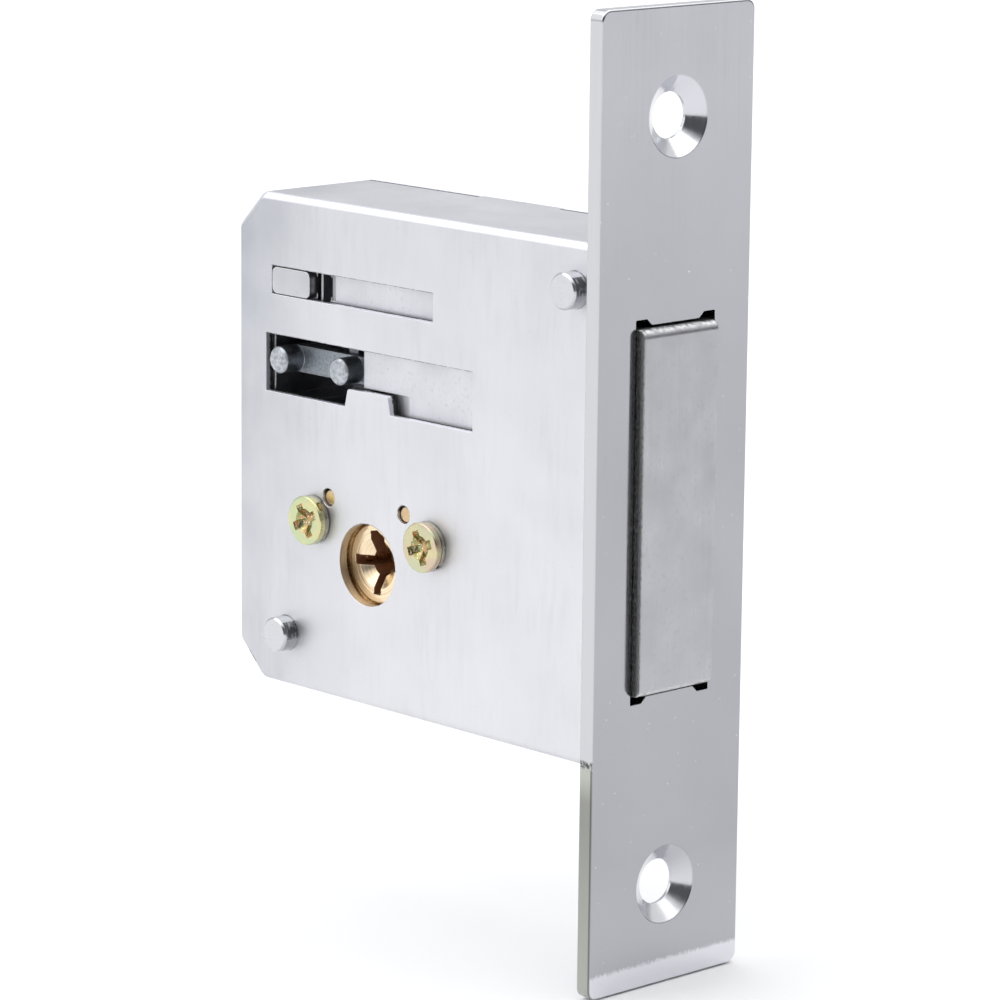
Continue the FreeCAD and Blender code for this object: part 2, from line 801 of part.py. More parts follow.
def make_finger_clip():
    """A snap ring in the groove of the plug's tail, open on one side."""
    inner = tail_shaft_radius - clip_groove_depth + seat_clearance
    ring = tube(cylinder_axis, clip_radius, inner, clip_near, clip_far)
    mouth = box(cylinder_x - clip_mouth / 2, cylinder_x + clip_mouth / 2, clip_near - 1, clip_far + 1,
                axis_height - clip_radius - 1, axis_height)
    return turned(ring.cut(mouth), 180 - engaged_half_angle)


def cross_recess(place, top, angle):
    """A four-armed driver recess, tapered to a point at its middle."""
    arm = box(-recess_arm, recess_arm, 0, recess_depth, -recess_width / 2, recess_width / 2)
    other = arm.copy()
    other.rotate(point(0, 0, 0), Y, 90)
    middle = Part.makeCone(recess_width * 1.2, recess_width * 0.5, recess_depth * 1.2, point(0, 0, 0), Y)
    cut = arm.fuse(other).fuse(middle)
    cut.rotate(point(0, 0, 0), Y, angle)
    cut.translate(point(place[0], top, place[1]))
    return cut


def make_screws():
    under_head = near_face - washer_thickness
    top = under_head - screw_head_height
    screws = []
    for number, place in enumerate(screw_places()):
        head = rod(place, screw_head / 2, top, under_head)
        head = head.makeFillet(screw_head_round, edges_in_plane(head, top, lambda c: True))
        shank = rod(place, screw_shank / 2, under_head - 0.1, flange_back - screw_short_of_flange)
        angle = recess_angle * (1 - 2 * number)
        screws.append(head.fuse(shank).cut(cross_recess(place, top, angle)))
    return Part.makeCompound(screws)


def make_lock_washers():
    washers = []
    for place in screw_places():
        ring = tube(place, screw_head / 2, screw_hole / 2, near_face - washer_thickness, near_face)
        slit = box(-washer_gap / 2, washer_gap / 2, near_face - washer_thickness - 1, near_face + 1,
                   0, screw_head)
        slit.rotate(point(0, 0, 0), Y, washer_gap_angle)
        slit.translate(point(place[0], 0, place[1]))
        washers.append(ring.cut(slit))
    return Part.makeCompound(washers)


def make_locating_pins():
    pins = []
    top = near_face + locating_recess
    for place in locating_places():
        pin = rod(place, locating_pin / 2, top, flange_back - locating_short_of_flange)
        pins.append(pin.makeChamfer(locating_chamfer, edges_in_plane(pin, top, lambda c: True)))
    return Part.makeCompound(pins)


def make_all():
    return {
        "faceplate": make_faceplate(),
        "case_body": make_case_body(),
        "cover_plate": make_cover_plate(),
        "front_post": make_post(front_post),
        "rear_post": make_post(rear_post),
        "bolt": make_bolt(),
        "locking_lever": make_locking_lever(),
        "lever_spring": make_lever_spring(),
        "cylinder_housing": make_housing(),
        "housing_sleeve": make_housing_sleeve(),
        "cylinder_plug": make_plug(),
        "key_pins": make_key_pins(),
        "driver_pins": make_driver_pins(),
        "tumbler_springs": make_tumbler_springs(),
        "key_finger": make_key_finger(),
        "finger_clip": make_finger_clip(),
        "cylinder_screws": make_screws(),
        "lock_washers": make_lock_washers(),
        "locating_pins": make_locating_pins(),
    }


os.makedirs("parts", exist_ok=True)
for name, shape in make_all().items():
    shape.exportStep("parts/" + name + ".step")
    print(name, "valid", shape.isValid(), "volume", round(shape.Volume, 1))
print("lever spring least gap to itself: %.2f mm" % spring_self_gap())
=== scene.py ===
import math

import bmesh
import bpy
from bpy.props import FloatProperty, FloatVectorProperty, IntProperty, PointerProperty
from mathutils import Matrix, Vector


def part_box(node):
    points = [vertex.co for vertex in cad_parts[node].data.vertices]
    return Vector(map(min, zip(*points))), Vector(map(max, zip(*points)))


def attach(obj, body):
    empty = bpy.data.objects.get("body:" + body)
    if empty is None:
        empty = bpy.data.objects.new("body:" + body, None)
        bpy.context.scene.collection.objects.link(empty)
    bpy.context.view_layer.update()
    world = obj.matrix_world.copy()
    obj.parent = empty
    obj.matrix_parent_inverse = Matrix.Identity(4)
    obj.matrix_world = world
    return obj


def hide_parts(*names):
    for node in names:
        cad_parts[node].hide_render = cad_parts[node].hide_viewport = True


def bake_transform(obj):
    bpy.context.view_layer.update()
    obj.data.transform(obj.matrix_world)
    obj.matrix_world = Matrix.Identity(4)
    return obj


bl_info = {
    "name": "Mortise Deadbolt Finishes",
    "version": (1, 0, 0),
    "blender": (4, 5, 0),
    "location": "3D View > Sidebar > Deadbolt",
    "description": "Plates, casts and turns the parts of a mortise deadbolt, and adds its screws and washers",
    "category": "Object",
}

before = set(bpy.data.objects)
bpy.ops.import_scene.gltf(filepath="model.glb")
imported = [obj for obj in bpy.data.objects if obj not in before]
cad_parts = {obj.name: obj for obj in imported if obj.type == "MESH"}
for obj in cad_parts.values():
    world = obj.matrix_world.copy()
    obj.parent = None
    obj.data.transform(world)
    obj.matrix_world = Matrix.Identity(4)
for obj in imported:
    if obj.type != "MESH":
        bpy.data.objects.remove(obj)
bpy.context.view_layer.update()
MM = 0.001


# Colours and sizes

def linear(code):
    """An sRGB hex colour as linear red, green, blue and alpha."""
    values = []
    for i in (0, 2, 4):
        share = int(code[i:i + 2], 16) / 255
        values.append(share / 12.92 if share <= 0.04045 else ((share + 0.055) / 1.055) ** 2.4)
    return (*values, 1.0)


def colour_setting(name, description, code):
    return FloatVectorProperty(name=name, description=description, subtype="COLOR", size=4,
                               min=0.0, max=1.0, default=linear(code))


def length_setting(name, description, millimetres, lowest=0.0):
    return FloatProperty(name=name, description=description, default=millimetres * MM, min=lowest,
                         subtype="DISTANCE", unit="LENGTH", precision=5)


def angle_setting(name, description, degrees):
    return FloatProperty(name=name, description=description, default=math.radians(degrees),
                         subtype="ANGLE", unit="ROTATION")


def strength_setting(name, description, default):
    return FloatProperty(name=name, description=description, default=default, min=0.0)


screw_low, screw_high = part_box("cylinder_screws")
washer_low, washer_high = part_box("lock_washers")
case_low, case_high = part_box("case_body")
cover_low, cover_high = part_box("cover_plate")
plate_low, plate_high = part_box("faceplate")
bolt_low, bolt_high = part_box("bolt")
lever_low, lever_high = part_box("locking_lever")
plug_low, plug_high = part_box("cylinder_plug")


class DeadboltPlatings(bpy.types.PropertyGroup):
    faceplate: colour_setting("Faceplate", "Chrome plate on the faceplate", "B4B5BA")
    # The pale colour is a painted highlight in the countersinks and a painted reflection on the band along
    # the foot.
    faceplate_pale: colour_setting("Faceplate, pale", "Plate in the countersinks and at the foot", "E2E3E8")
    # Painted reflection on the side edges above the case's bottom, paler than the face.
    side_edge_reflection: colour_setting("Faceplate side", "Plate on the side edges beside the case", "C6C6C8")
    # Painted shade on the side edges below the case.
    side_edge_shade: colour_setting("Faceplate side, dull", "Side edges below the case", "9A9B95")
    case: colour_setting("Case", "Bright zinc plate on the folded case", "DEDEE1")
    # Painted shade at the case's rear, up its side and on its top face.
    case_shade_tint: colour_setting("Case tint", "Blue grey cast of the passivation at the rear", "ABAEB5")
    # Painted highlight on the case's bend, its broken edges and the outer half of its cut walls.
    edge_highlight: colour_setting("Burnished", "Bluish white of the bends and of the outer cut edges", "F6F7FF")
    # Painted shade on the inner half of the cut walls, and painted shadow under the openings' upper edges.
    sheared: colour_setting("Sheared edge", "Dark torn steel inside the punched edges", "4A4745")
    # Tan laid on the cut wall round the cylinder's hole.
    hole_rim_tan: colour_setting("Rubbed rim", "Brass rubbed on to the rim of the cylinder's hole", "C6B5A0")
    posts: colour_setting("Posts", "Plated steel of the two posts", "CFD0D3")
    screws: colour_setting("Screws", "Yellow passivation of the cylinder screws", "D3D09C")
    screws_green: colour_setting("Screw tint, green", "Green patches of the passivation", "BFCDA4")
    screws_pink: colour_setting("Screw tint, pink", "Pink patches of the passivation", "CDB3A2")
    recess: colour_setting("Recess", "Olive film pooled in the screw recess", "969562")
    recess_glint: colour_setting("Recess glint", "Orange film pooled in the screw recess", "C79A6A")
    washers: colour_setting("Washers", "Plated spring steel of the lock washers", "B8B4A6")


class DeadboltMetals(bpy.types.PropertyGroup):
    bolt: colour_setting("Bolt", "Satin plate over the cast bolt's nose", "B4B4B8")
    bolt_flank: colour_setting("Bolt flank", "Satin plate over the bolt's long sides", "DADBDF")
    bolt_skin: colour_setting("Bolt skin", "Dull skin on the flanks by the window", "8E8D8C")
    lever: colour_setting("Lever", "Raw casting of the locking lever", "A2A8AF")
    lever_rubbed: colour_setting("Lever studs", "Rubbed ends of the lever's studs", "D4D6DB")
    spring: colour_setting("Spring", "Drawn wire of the lever spring", "8C8B89")
    brass: colour_setting("Brass", "Turned brass of the cylinder", "D6BC94")
    plug: colour_setting("Plug", "Turned brass of the plug and its pins", "F4E0BE")
    tarnish: colour_setting("Tarnish", "Brown film in the turned grooves", "9A7A58")
    # Painted shade in the keyway and on the plug's inner walls.
    keyway: colour_setting("Keyway", "Dark brown film in the keyway", "CBA585")
    finger: colour_setting("Key finger", "Sintered steel of the key finger", "7C7D80")


class DeadboltFasteners(bpy.types.PropertyGroup):
    head_radius: length_setting("Head radius", "Radius of a cylinder screw's head",
                                (screw_high.z - screw_low.z) / 2 / MM)
    head_height: length_setting("Head height", "Height of a cylinder screw's head", 0.9)
    head_round: length_setting("Head round", "Rounding of the head's rim", 0.22)
    shank_radius: length_setting("Thread radius", "Radius over the crests of the thread", 1.5)
    thread_depth: length_setting("Thread depth", "Height of the thread's ridge", 0.2)
    thread_pitch: length_setting("Thread pitch", "Distance from one crest to the next", 0.5)
    recess_arm: length_setting("Recess arm", "Reach of one arm of the cross recess", 2.3)
    recess_width: length_setting("Recess width", "Width of one arm of the cross recess", 1.2)
    recess_depth: length_setting("Recess depth", "Depth of the cross recess", 0.85)
    washer_bore: length_setting("Washer bore", "Inner radius of a lock washer", 1.7)
    washer_wire: length_setting("Washer thickness", "Thickness of a lock washer's band", 0.56)
    sides: IntProperty(name="Sides", description="Steps round a screw or a washer", default=72,
                       min=24, max=160)
    coil_wire: length_setting("Spring wire", "Thickness of the lever spring's wire", 0.5)
    coil_turns: FloatProperty(name="Spring turns", description="Turns of the lever spring", default=4.5,
                              min=1.0)


class DeadboltStage(bpy.types.PropertyGroup):
    azimuth: angle_setting("Azimuth", "Camera's angle round the lock", 46.619)
    elevation: angle_setting("Elevation", "Camera's angle above the horizon", 11.504)
    roll: angle_setting("Roll", "Camera's tilt about its own axis", 0.591)
    distance: length_setting("Distance", "Camera's distance along its own axis", 538.182)
    aside: length_setting("Aside", "Camera's offset to its right", -20.165, lowest=-1.0)
    above: length_setting("Above", "Camera's offset upwards", 0.376, lowest=-1.0)
    lens: FloatProperty(name="Lens", description="Focal length on a 36 mm sensor, in millimetres",
                        default=164.97, min=10.0, subtype="DISTANCE_CAMERA")
    floor: colour_setting("Floor", "Matt white paper under the lock", "FAFAFA")
    ceiling: strength_setting("Ceiling", "Brightness of the white ceiling", 0.75)
    room_behind: strength_setting("Room behind", "Brightness of the wall behind the case", 0.8)
    room_in_front: strength_setting("Room in front", "Brightness of the room past the bolt", 0.12)
    top_light: strength_setting("Top light", "Strength of the very wide light overhead", 1.6)
    side_light: strength_setting("Side light", "Strength of the wide light on the left", 0.35)
    near_light: strength_setting("Near light", "Strength of the wide light before the case", 0.35)


# Materials

def add_node(tree, kind, inputs=None, output=0, **settings):
    """Adds a node with its settings, values and links, and gives back one of its outputs."""
    node = tree.nodes.new(kind)
    for name, value in settings.items():
        setattr(node, name, value)
    for socket, value in (inputs or {}).items():
        if isinstance(value, bpy.types.NodeSocket):
            tree.links.new(value, node.inputs[socket])
        else:
            node.inputs[socket].default_value = value
    return node.outputs[output] if len(node.outputs) else None


def bare_metal(name, colour, roughness):
    """A metal with one colour and one roughness, which the patterns then vary."""
    material = bpy.data.materials.new(name)
    material.use_nodes = True
    tree = material.node_tree
    tree.nodes.clear()
    surface = add_node(tree, "ShaderNodeBsdfPrincipled",
                       {"Base Color": tuple(colour), "Metallic": 1.0, "Roughness": roughness})
    add_node(tree, "ShaderNodeOutputMaterial", {"Surface": surface})
    return material, tree, surface.node.inputs


def shade(colour, factor):
    """A colour made darker or lighter, for the far end of a pattern."""
    return (*[min(1.0, c * factor) for c in colour[:3]], 1.0)


def placed(tree, stretch=(1, 1, 1), centre=(0, 0, 0)):
    """Object coordinates in millimetres about a centre, drawn out along the stretched axes."""
    factors = [1 / (MM * s) for s in stretch]
    return add_node(tree, "ShaderNodeMapping", {
        "Vector": add_node(tree, "ShaderNodeTexCoord", output="Object"),
        "Scale": factors, "Location": [-c * f for c, f in zip(centre, factors)]})


def patches(tree, size, low, high, stretch=(1, 1, 1), detail=3.0, sharp=(0.3, 0.7)):
    """Soft patches of about one size in millimetres, between a low and a high value."""
    cloud = add_node(tree, "ShaderNodeTexNoise",
                     {"Vector": placed(tree, stretch), "Scale": 1 / size, "Detail": detail}, "Fac")
    return add_node(tree, "ShaderNodeMapRange", {
        "Value": cloud, "From Min": sharp[0], "From Max": sharp[1], "To Min": low, "To Max": high})


def broken_edge(tree, radius, most):
    """The rounding of every sharp edge in millimetres, and a share that rises to most along it."""
    rounding = add_node(tree, "ShaderNodeBevel", {"Radius": radius * MM}, samples=6)
    flat = add_node(tree, "ShaderNodeNewGeometry", output="True Normal")
    agreement = add_node(tree, "ShaderNodeVectorMath", {0: rounding, 1: flat}, "Value",
                         operation="DOT_PRODUCT")
    share = add_node(tree, "ShaderNodeMapRange",
                     {"Value": agreement, "From Min": 0.99, "From Max": 0.8, "To Max": most})
    return rounding, share


def facing(tree, axis, most=1.0, start=0.3, end=0.9):
    """A share that is full where the surface faces along an axis, and nothing where it turns away."""
    flat = add_node(tree, "ShaderNodeNewGeometry", output="True Normal")
    agreement = add_node(tree, "ShaderNodeVectorMath", {0: flat, 1: axis}, "Value", operation="DOT_PRODUCT")
    return add_node(tree, "ShaderNodeMapRange",
                    {"Value": agreement, "From Min": start, "From Max": end, "To Max": most})


def facing_both(tree, axis):
    """A share that is full where the surface faces along an axis or straight against it."""
    against = facing(tree, [-part for part in axis])
    return add_node(tree, "ShaderNodeMath", {0: facing(tree, axis), 1: against}, operation="ADD")


def along(tree, axis):
    """The place along one axis of the part, in metres."""
    spot = add_node(tree, "ShaderNodeTexCoord", output="Object")
    return add_node(tree, "ShaderNodeSeparateXYZ", {"Vector": spot}, axis)


def depth_share(tree, axis, corner, start, end, most=1.0):
    """A share that rises from nothing to most between two distances in millimetres from a corner."""
    origin = corner["XYZ".index(axis)]
    return add_node(tree, "ShaderNodeMapRange", {
        "Value": along(tree, axis), "From Min": origin + start * MM, "From Max": origin + end * MM,
        "To Max": most})


def near_axis(tree, centre, start, end, most=1.0):
    """A share that rises from nothing at one distance from an axis along Y to most at another."""
    flattened = placed(tree, (1, 1000, 1), centre)
    distance = add_node(tree, "ShaderNodeVectorMath", {0: flattened}, "Value", operation="LENGTH")
    return add_node(tree, "ShaderNodeMapRange",
                    {"Value": distance, "From Min": start, "From Max": end, "To Max": most})


def inside(tree, low, high):
    """A share that is full within a box and nothing outside it."""
    reach = placed(tree, (high - low) / (2 * MM), (low + high) / 2)
    outward = add_node(tree, "ShaderNodeVectorMath", {0: reach}, operation="ABSOLUTE")
    sides = add_node(tree, "ShaderNodeSeparateXYZ", {"Vector": outward}).node.outputs
    widest = add_node(tree, "ShaderNodeMath", {0: sides["X"], 1: sides["Y"]}, operation="MAXIMUM")
    furthest = add_node(tree, "ShaderNodeMath", {0: widest, 1: sides["Z"]}, operation="MAXIMUM")
    return add_node(tree, "ShaderNodeMath", {0: furthest, 1: 1.0}, operation="LESS_THAN")


def turned_rings(tree, centre, pitch):
    """Fine rings about an axis along Y, one for each pass of the lathe tool."""
    return add_node(tree, "ShaderNodeTexWave", {
        "Vector": placed(tree, centre=centre), "Scale": 0.314 / pitch, "Distortion": 0.6,
        "Detail": 2.0, "Detail Scale": 1.5}, "Fac", wave_type="RINGS", rings_direction="Y")


def layered(tree, colour, *layers):
    """Colours laid over one another, each of them where all of its shares meet."""
    for upper, share, *others in layers:
        for other in others:
            share = add_node(tree, "ShaderNodeMath", {0: share, 1: other}, operation="MULTIPLY")
        colour = add_node(tree, "ShaderNodeMix", {0: share, 6: colour, 7: upper}, 2, data_type="RGBA")
    return colour


def finish(tree, inputs, colour, roughness, normal, *patterns):
    """Joins colour, roughness and surface to the shader, with patterns raised or sunk by millimetres."""
    for height, depth in patterns:
        raised = {"Height": height, "Distance": abs(depth) * MM}
        if normal:
            raised["Normal"] = normal
        normal = add_node(tree, "ShaderNodeBump", raised, invert=depth < 0)
    tree.links.new(colour, inputs["Base Color"])
    tree.links.new(roughness, inputs["Roughness"])
    tree.links.new(normal, inputs["Normal"])


def chrome_plate(colours):
    """Decorative chrome over polished steel: a cool grey mirror, softened along the polishing lines.

    It carries painted light: it is paler in the countersinks, as a painted highlight, and on a ragged band
    along the foot, as a painted reflection. Painted shade darkens the face from near its top to just above
    the foot. Its side edges carry a painted reflection above the case's bottom, painted shade below it, a
    ragged painted shadow band at the case's bottom and a thin painted dark line along their front."""
    material, tree, inputs = bare_metal("Polished_chrome_plate", colours.faceplate, 0.12)
    rounding, edge = broken_edge(tree, 0.12, 0.5)
    # Painted reflection: a paler ragged band along the foot. Surfaces sunk behind the front, such as the
    # countersinks, are painted half way paler as a painted highlight.
    ragged = patches(tree, 0.55, -0.22 * MM, 0.22 * MM, stretch=(1.0, 0.6, 1.0), detail=4.0)
    foot_line = add_node(tree, "ShaderNodeMath", {0: along(tree, "Z"), 1: ragged}, operation="ADD")
    foot = add_node(tree, "ShaderNodeMapRange", {
        "Value": foot_line, "From Min": plate_low.z + 3.05 * MM, "From Max": plate_low.z + 2.55 * MM})
    sunk = depth_share(tree, "X", plate_high, -0.02, -0.12, 0.5)
    pale = add_node(tree, "ShaderNodeMath", {0: foot, 1: sunk}, operation="MAXIMUM")
    outer = depth_share(tree, "Y", plate_low, 2, 1)
    strip = add_node(tree, "ShaderNodeMath", {0: facing_both(tree, (0, 1, 0)), 1: outer},
                     operation="MULTIPLY")
    # Painted reflection on the side edges above the case's bottom, with a ragged painted shadow band just
    # above that bottom.
    by_case = depth_share(tree, "Z", cover_low, 0.9, 1.3)
    above_shadow_band = depth_share(tree, "Z", cover_low, 1.8, 2.1)
    shadow_band = add_node(tree, "ShaderNodeMath", {0: by_case, 1: above_shadow_band}, operation="SUBTRACT", use_clamp=True)
    ragged_painted_light = patches(tree, 0.3, 1.0, 0.0, sharp=(0.45, 0.6))
    # Painted shade: the face darkens from near its top down to just above the foot, mixed with soft random
    # haze.
    down = depth_share(tree, "Z", plate_high, -8, -36)
    above_foot = depth_share(tree, "Z", plate_low, 5, 16, 0.75)
    slope = add_node(tree, "ShaderNodeMath", {0: down, 1: above_foot}, operation="MULTIPLY")
    haze = patches(tree, 16.0, 0.0, 0.25, detail=2.0)
    painted_shade_and_haze = add_node(tree, "ShaderNodeMath", {0: slope, 1: haze}, operation="ADD", use_clamp=True)
    speck = patches(tree, 0.5, 0.0, 0.7, detail=1.0, sharp=(0.76, 0.78))
    # Painted highlight: the upward-facing part of the countersinks is laid over in near white.
    upward = facing(tree, (0.707, 0, 0.707), 1.8, 0.8, 0.94)
    # Painted shade on the side edges below the case, lighter just under the case and towards the foot.
    by_foot = depth_share(tree, "Z", cover_low, -6, -27.15)
    fading = depth_share(tree, "Z", cover_low, -3, 0)
    paler = add_node(tree, "ShaderNodeMath", {0: by_foot, 1: fading}, operation="MAXIMUM")
    dull = colours.side_edge_shade
    side = layered(tree, shade(dull, 0.9), (shade(dull, 1.4), paler), (colours.side_edge_reflection, by_case),
                   (shade(dull, 0.35), shadow_band, ragged_painted_light))
    # Painted shade: a thin dark line along the front of each side edge below the case.
    front_line = depth_share(tree, "X", plate_high, -0.3, -0.22, 0.75)
    drawn = add_node(tree, "ShaderNodeMath", {0: strip, 1: front_line}, operation="MULTIPLY")
    line = add_node(tree, "ShaderNodeMath", {0: drawn, 1: by_case}, operation="SUBTRACT", use_clamp=True)
    colour = layered(tree, colours.faceplate, (shade(colours.faceplate, 0.82), painted_shade_and_haze),
                     (colours.faceplate_pale, speck), (colours.faceplate_pale, pale),
                     (linear("F6F6F8"), upward, sunk), (side, strip), (shade(dull, 0.2), line),
                     (colours.faceplate_pale, edge))
    lines = patches(tree, 1.0, 0.0, 0.06, stretch=(0.3, 0.3, 22.0), detail=2.0)
    smudges = patches(tree, 9.0, 0.07, 0.15, detail=4.0)
    marked = add_node(tree, "ShaderNodeMath", {0: smudges, 1: lines}, operation="ADD")
    rough = add_node(tree, "ShaderNodeMath", {0: sunk, 1: 0.06, 2: marked}, operation="MULTIPLY_ADD")
    finish(tree, inputs, colour, rough, rounding, (patches(tree, 11.0, 0.0, 1.0, detail=1.0), 0.02),
           (lines, 0.02))
    return material


def zinc_plate(colours, name, low, high):
    """Bright zinc on cold-rolled sheet: a soft bluish white with faint upright rolling streaks.

    Painted light lies over it: painted shade in a blue grey tint at the rear, up the side and on the top
    face, and a painted highlight on the bend and the broken edges. Within the box from low to high the
    punched cut walls carry a painted highlight on their outer half, painted shade on their ragged inner
    half, in the gap behind the sheet, and a painted shadow under the upper edge of each opening. The cut
    wall round the cylinder's hole is tan."""
    material, tree, inputs = bare_metal("Bright_zinc_" + name, colours.case, 0.5)
    rounding, edge = broken_edge(tree, 0.2, 0.8)
    # Painted shade: a blue grey tint laid over the rear, the upper part of the side and the top face, broken
    # up by soft patches.
    rear = depth_share(tree, "X", case_low, 24, 0)
    upper = depth_share(tree, "Z", cover_low, 12, 67.9, 0.55)
    high_rear = add_node(tree, "ShaderNodeMath", {0: upper, 1: 0.45}, operation="ADD")
    cast = add_node(tree, "ShaderNodeMath", {0: rear, 1: high_rear}, operation="MULTIPLY")
    spread = add_node(tree, "ShaderNodeMath", {0: upper, 1: 0.5}, operation="MULTIPLY")
    grey = add_node(tree, "ShaderNodeMath", {0: cast, 1: spread}, operation="MAXIMUM")
    top = add_node(tree, "ShaderNodeMath", {0: grey, 1: facing(tree, (0, 0, 1), 0.42)}, operation="MAXIMUM")
    cloud = patches(tree, 8.0, 0.6, 1.0)
    streaks = patches(tree, 1.0, 0.0, 0.1, stretch=(0.9, 0.9, 7.0), sharp=(0.45, 0.7))
    islands = patches(tree, 11.0, 0.15, 1.0, sharp=(0.45, 0.62))
    stain = add_node(tree, "ShaderNodeMath", {0: streaks, 1: islands}, operation="MULTIPLY")
    haze = patches(tree, 14.0, 0.0, 0.1, sharp=(0.4, 0.7))
    dull = add_node(tree, "ShaderNodeMath", {0: stain, 1: haze}, operation="ADD")
    speck = patches(tree, 0.35, 0.0, 0.25, detail=1.0, sharp=(0.76, 0.79))
    # Painted highlight: near white on the bend, on the broken edges and on the cut walls of the openings.
    bend_highlight = facing(tree, (0, -0.707, 0.707), 0.95, 0.78, 0.9)
    rubbed = add_node(tree, "ShaderNodeMath", {0: edge, 1: bend_highlight}, operation="MAXIMUM")
    punched = inside(tree, low, high)
    cut = add_node(tree, "ShaderNodeMath", {0: punched, 1: facing_both(tree, (0, 1, 0))},
                   operation="SUBTRACT", use_clamp=True)
    edge_highlight = add_node(tree, "ShaderNodeMath", {0: rubbed, 1: cut}, operation="MAXIMUM")
    # Painted shade on the ragged inner half of each cut wall, in the gap behind the sheet.
    across = add_node(tree, "ShaderNodeMath", {0: along(tree, "Y")}, operation="ABSOLUTE")
    ragged = patches(tree, 0.5, -0.15 * MM, 0.15 * MM, stretch=(1.0, 0.3, 1.0))
    half_way = add_node(tree, "ShaderNodeMath", {0: across, 1: ragged}, operation="ADD")
    ragged_painted_light = add_node(tree, "ShaderNodeMapRange", {
        "Value": half_way, "From Min": case_high.y - 0.6 * MM, "From Max": case_high.y - 0.75 * MM})
    inner = add_node(tree, "ShaderNodeMath", {0: cut, 1: ragged_painted_light}, operation="MULTIPLY")
    # Painted shadow: a ragged dark line under the upper edge of each opening.
    downward = add_node(tree, "ShaderNodeVectorMath", {0: rounding, 1: (0, 0, -1)}, "Value",
                        operation="DOT_PRODUCT")
    under = add_node(tree, "ShaderNodeMapRange", {"Value": downward, "From Min": 0.1, "From Max": 0.35})
    uneven = patches(tree, 0.7, 0.25, 0.9, detail=4.0, sharp=(0.35, 0.55))
    shadow_under_upper_edge = add_node(tree, "ShaderNodeMath", {0: under, 1: punched}, operation="MULTIPLY")
    burr_shadow = add_node(tree, "ShaderNodeMath", {0: shadow_under_upper_edge, 1: uneven}, operation="MULTIPLY")
    dark = add_node(tree, "ShaderNodeMath", {0: inner, 1: burr_shadow}, operation="MAXIMUM")
    # Tan on the cut wall round the cylinder's hole.
    by_plug = near_axis(tree, (plug_low + plug_high) / 2, 5.5, 5.3, 0.9)
    colour = layered(tree, colours.case, (colours.case_shade_tint, top, cloud),
                     (shade(colours.case, 0.45), dull), (shade(colours.case, 0.5), speck),
                     (colours.edge_highlight, edge_highlight), (colours.sheared, dark),
                     (colours.hole_rim_tan, by_plug, cut))
    smears = patches(tree, 6.0, 0.44, 0.54, stretch=(1.0, 1.0, 2.2), detail=4.0)
    rough = add_node(tree, "ShaderNodeMath", {0: bend_highlight, 1: -0.28, 2: smears}, operation="MULTIPLY_ADD")
    rolled = patches(tree, 1.0, 0.0, 1.0, stretch=(0.22, 0.22, 9.0), detail=2.0)
    finish(tree, inputs, colour, rough, rounding, (patches(tree, 9.0, 0.0, 1.0, detail=2.0), 0.016),
           (rolled, 0.0008))
    return material


def post_plate(colours, name, centre):
    """Plated steel parted off on a lathe: rings on the end face and a clear mirror on the side, with
    a jagged painted dark reflection along the upper side and painted shade on the lower side."""
    material, tree, inputs = bare_metal("Plated_steel_" + name, colours.posts, 0.14)
    rounding, edge = broken_edge(tree, 0.1, 0.5)
    on_face = add_node(tree, "ShaderNodeMath",
                       {0: turned_rings(tree, centre, 0.28), 1: facing(tree, (0, -1, 0))},
                       operation="MULTIPLY")
    # Painted reflection: a jagged dark band on the upper side, where the post mirrors the dark room; the
    # lower side gets painted shade.
    jagged_band_edge = patches(tree, 0.8, 0.2, 1.0, stretch=(1.0, 0.5, 1.0), detail=4.0, sharp=(0.3, 0.5))
    dark = add_node(tree, "ShaderNodeMath", {0: facing(tree, (0.93, 0, 0.37), 0.9, 0.84, 0.9), 1: jagged_band_edge},
                    operation="MULTIPLY")
    lower = facing(tree, (0.8, 0, -0.6), 0.3, 0.5, 0.8)
    worn = add_node(tree, "ShaderNodeMath", {0: dark, 1: lower}, operation="MAXIMUM")
    faint = add_node(tree, "ShaderNodeMapRange", {"Value": on_face, "To Max": 0.25})
    colour = layered(tree, colours.posts, (shade(colours.posts, 0.7), faint),
                     (shade(colours.posts, 0.12), worn), (linear("F4F4F6"), edge))
    satin = facing(tree, (0, -1, 0), 0.16)
    rough = add_node(tree, "ShaderNodeMath", {0: patches(tree, 1.6, 0.07, 0.15), 1: satin}, operation="ADD")
    finish(tree, inputs, colour, rough, rounding, (on_face, 0.003))
    return material


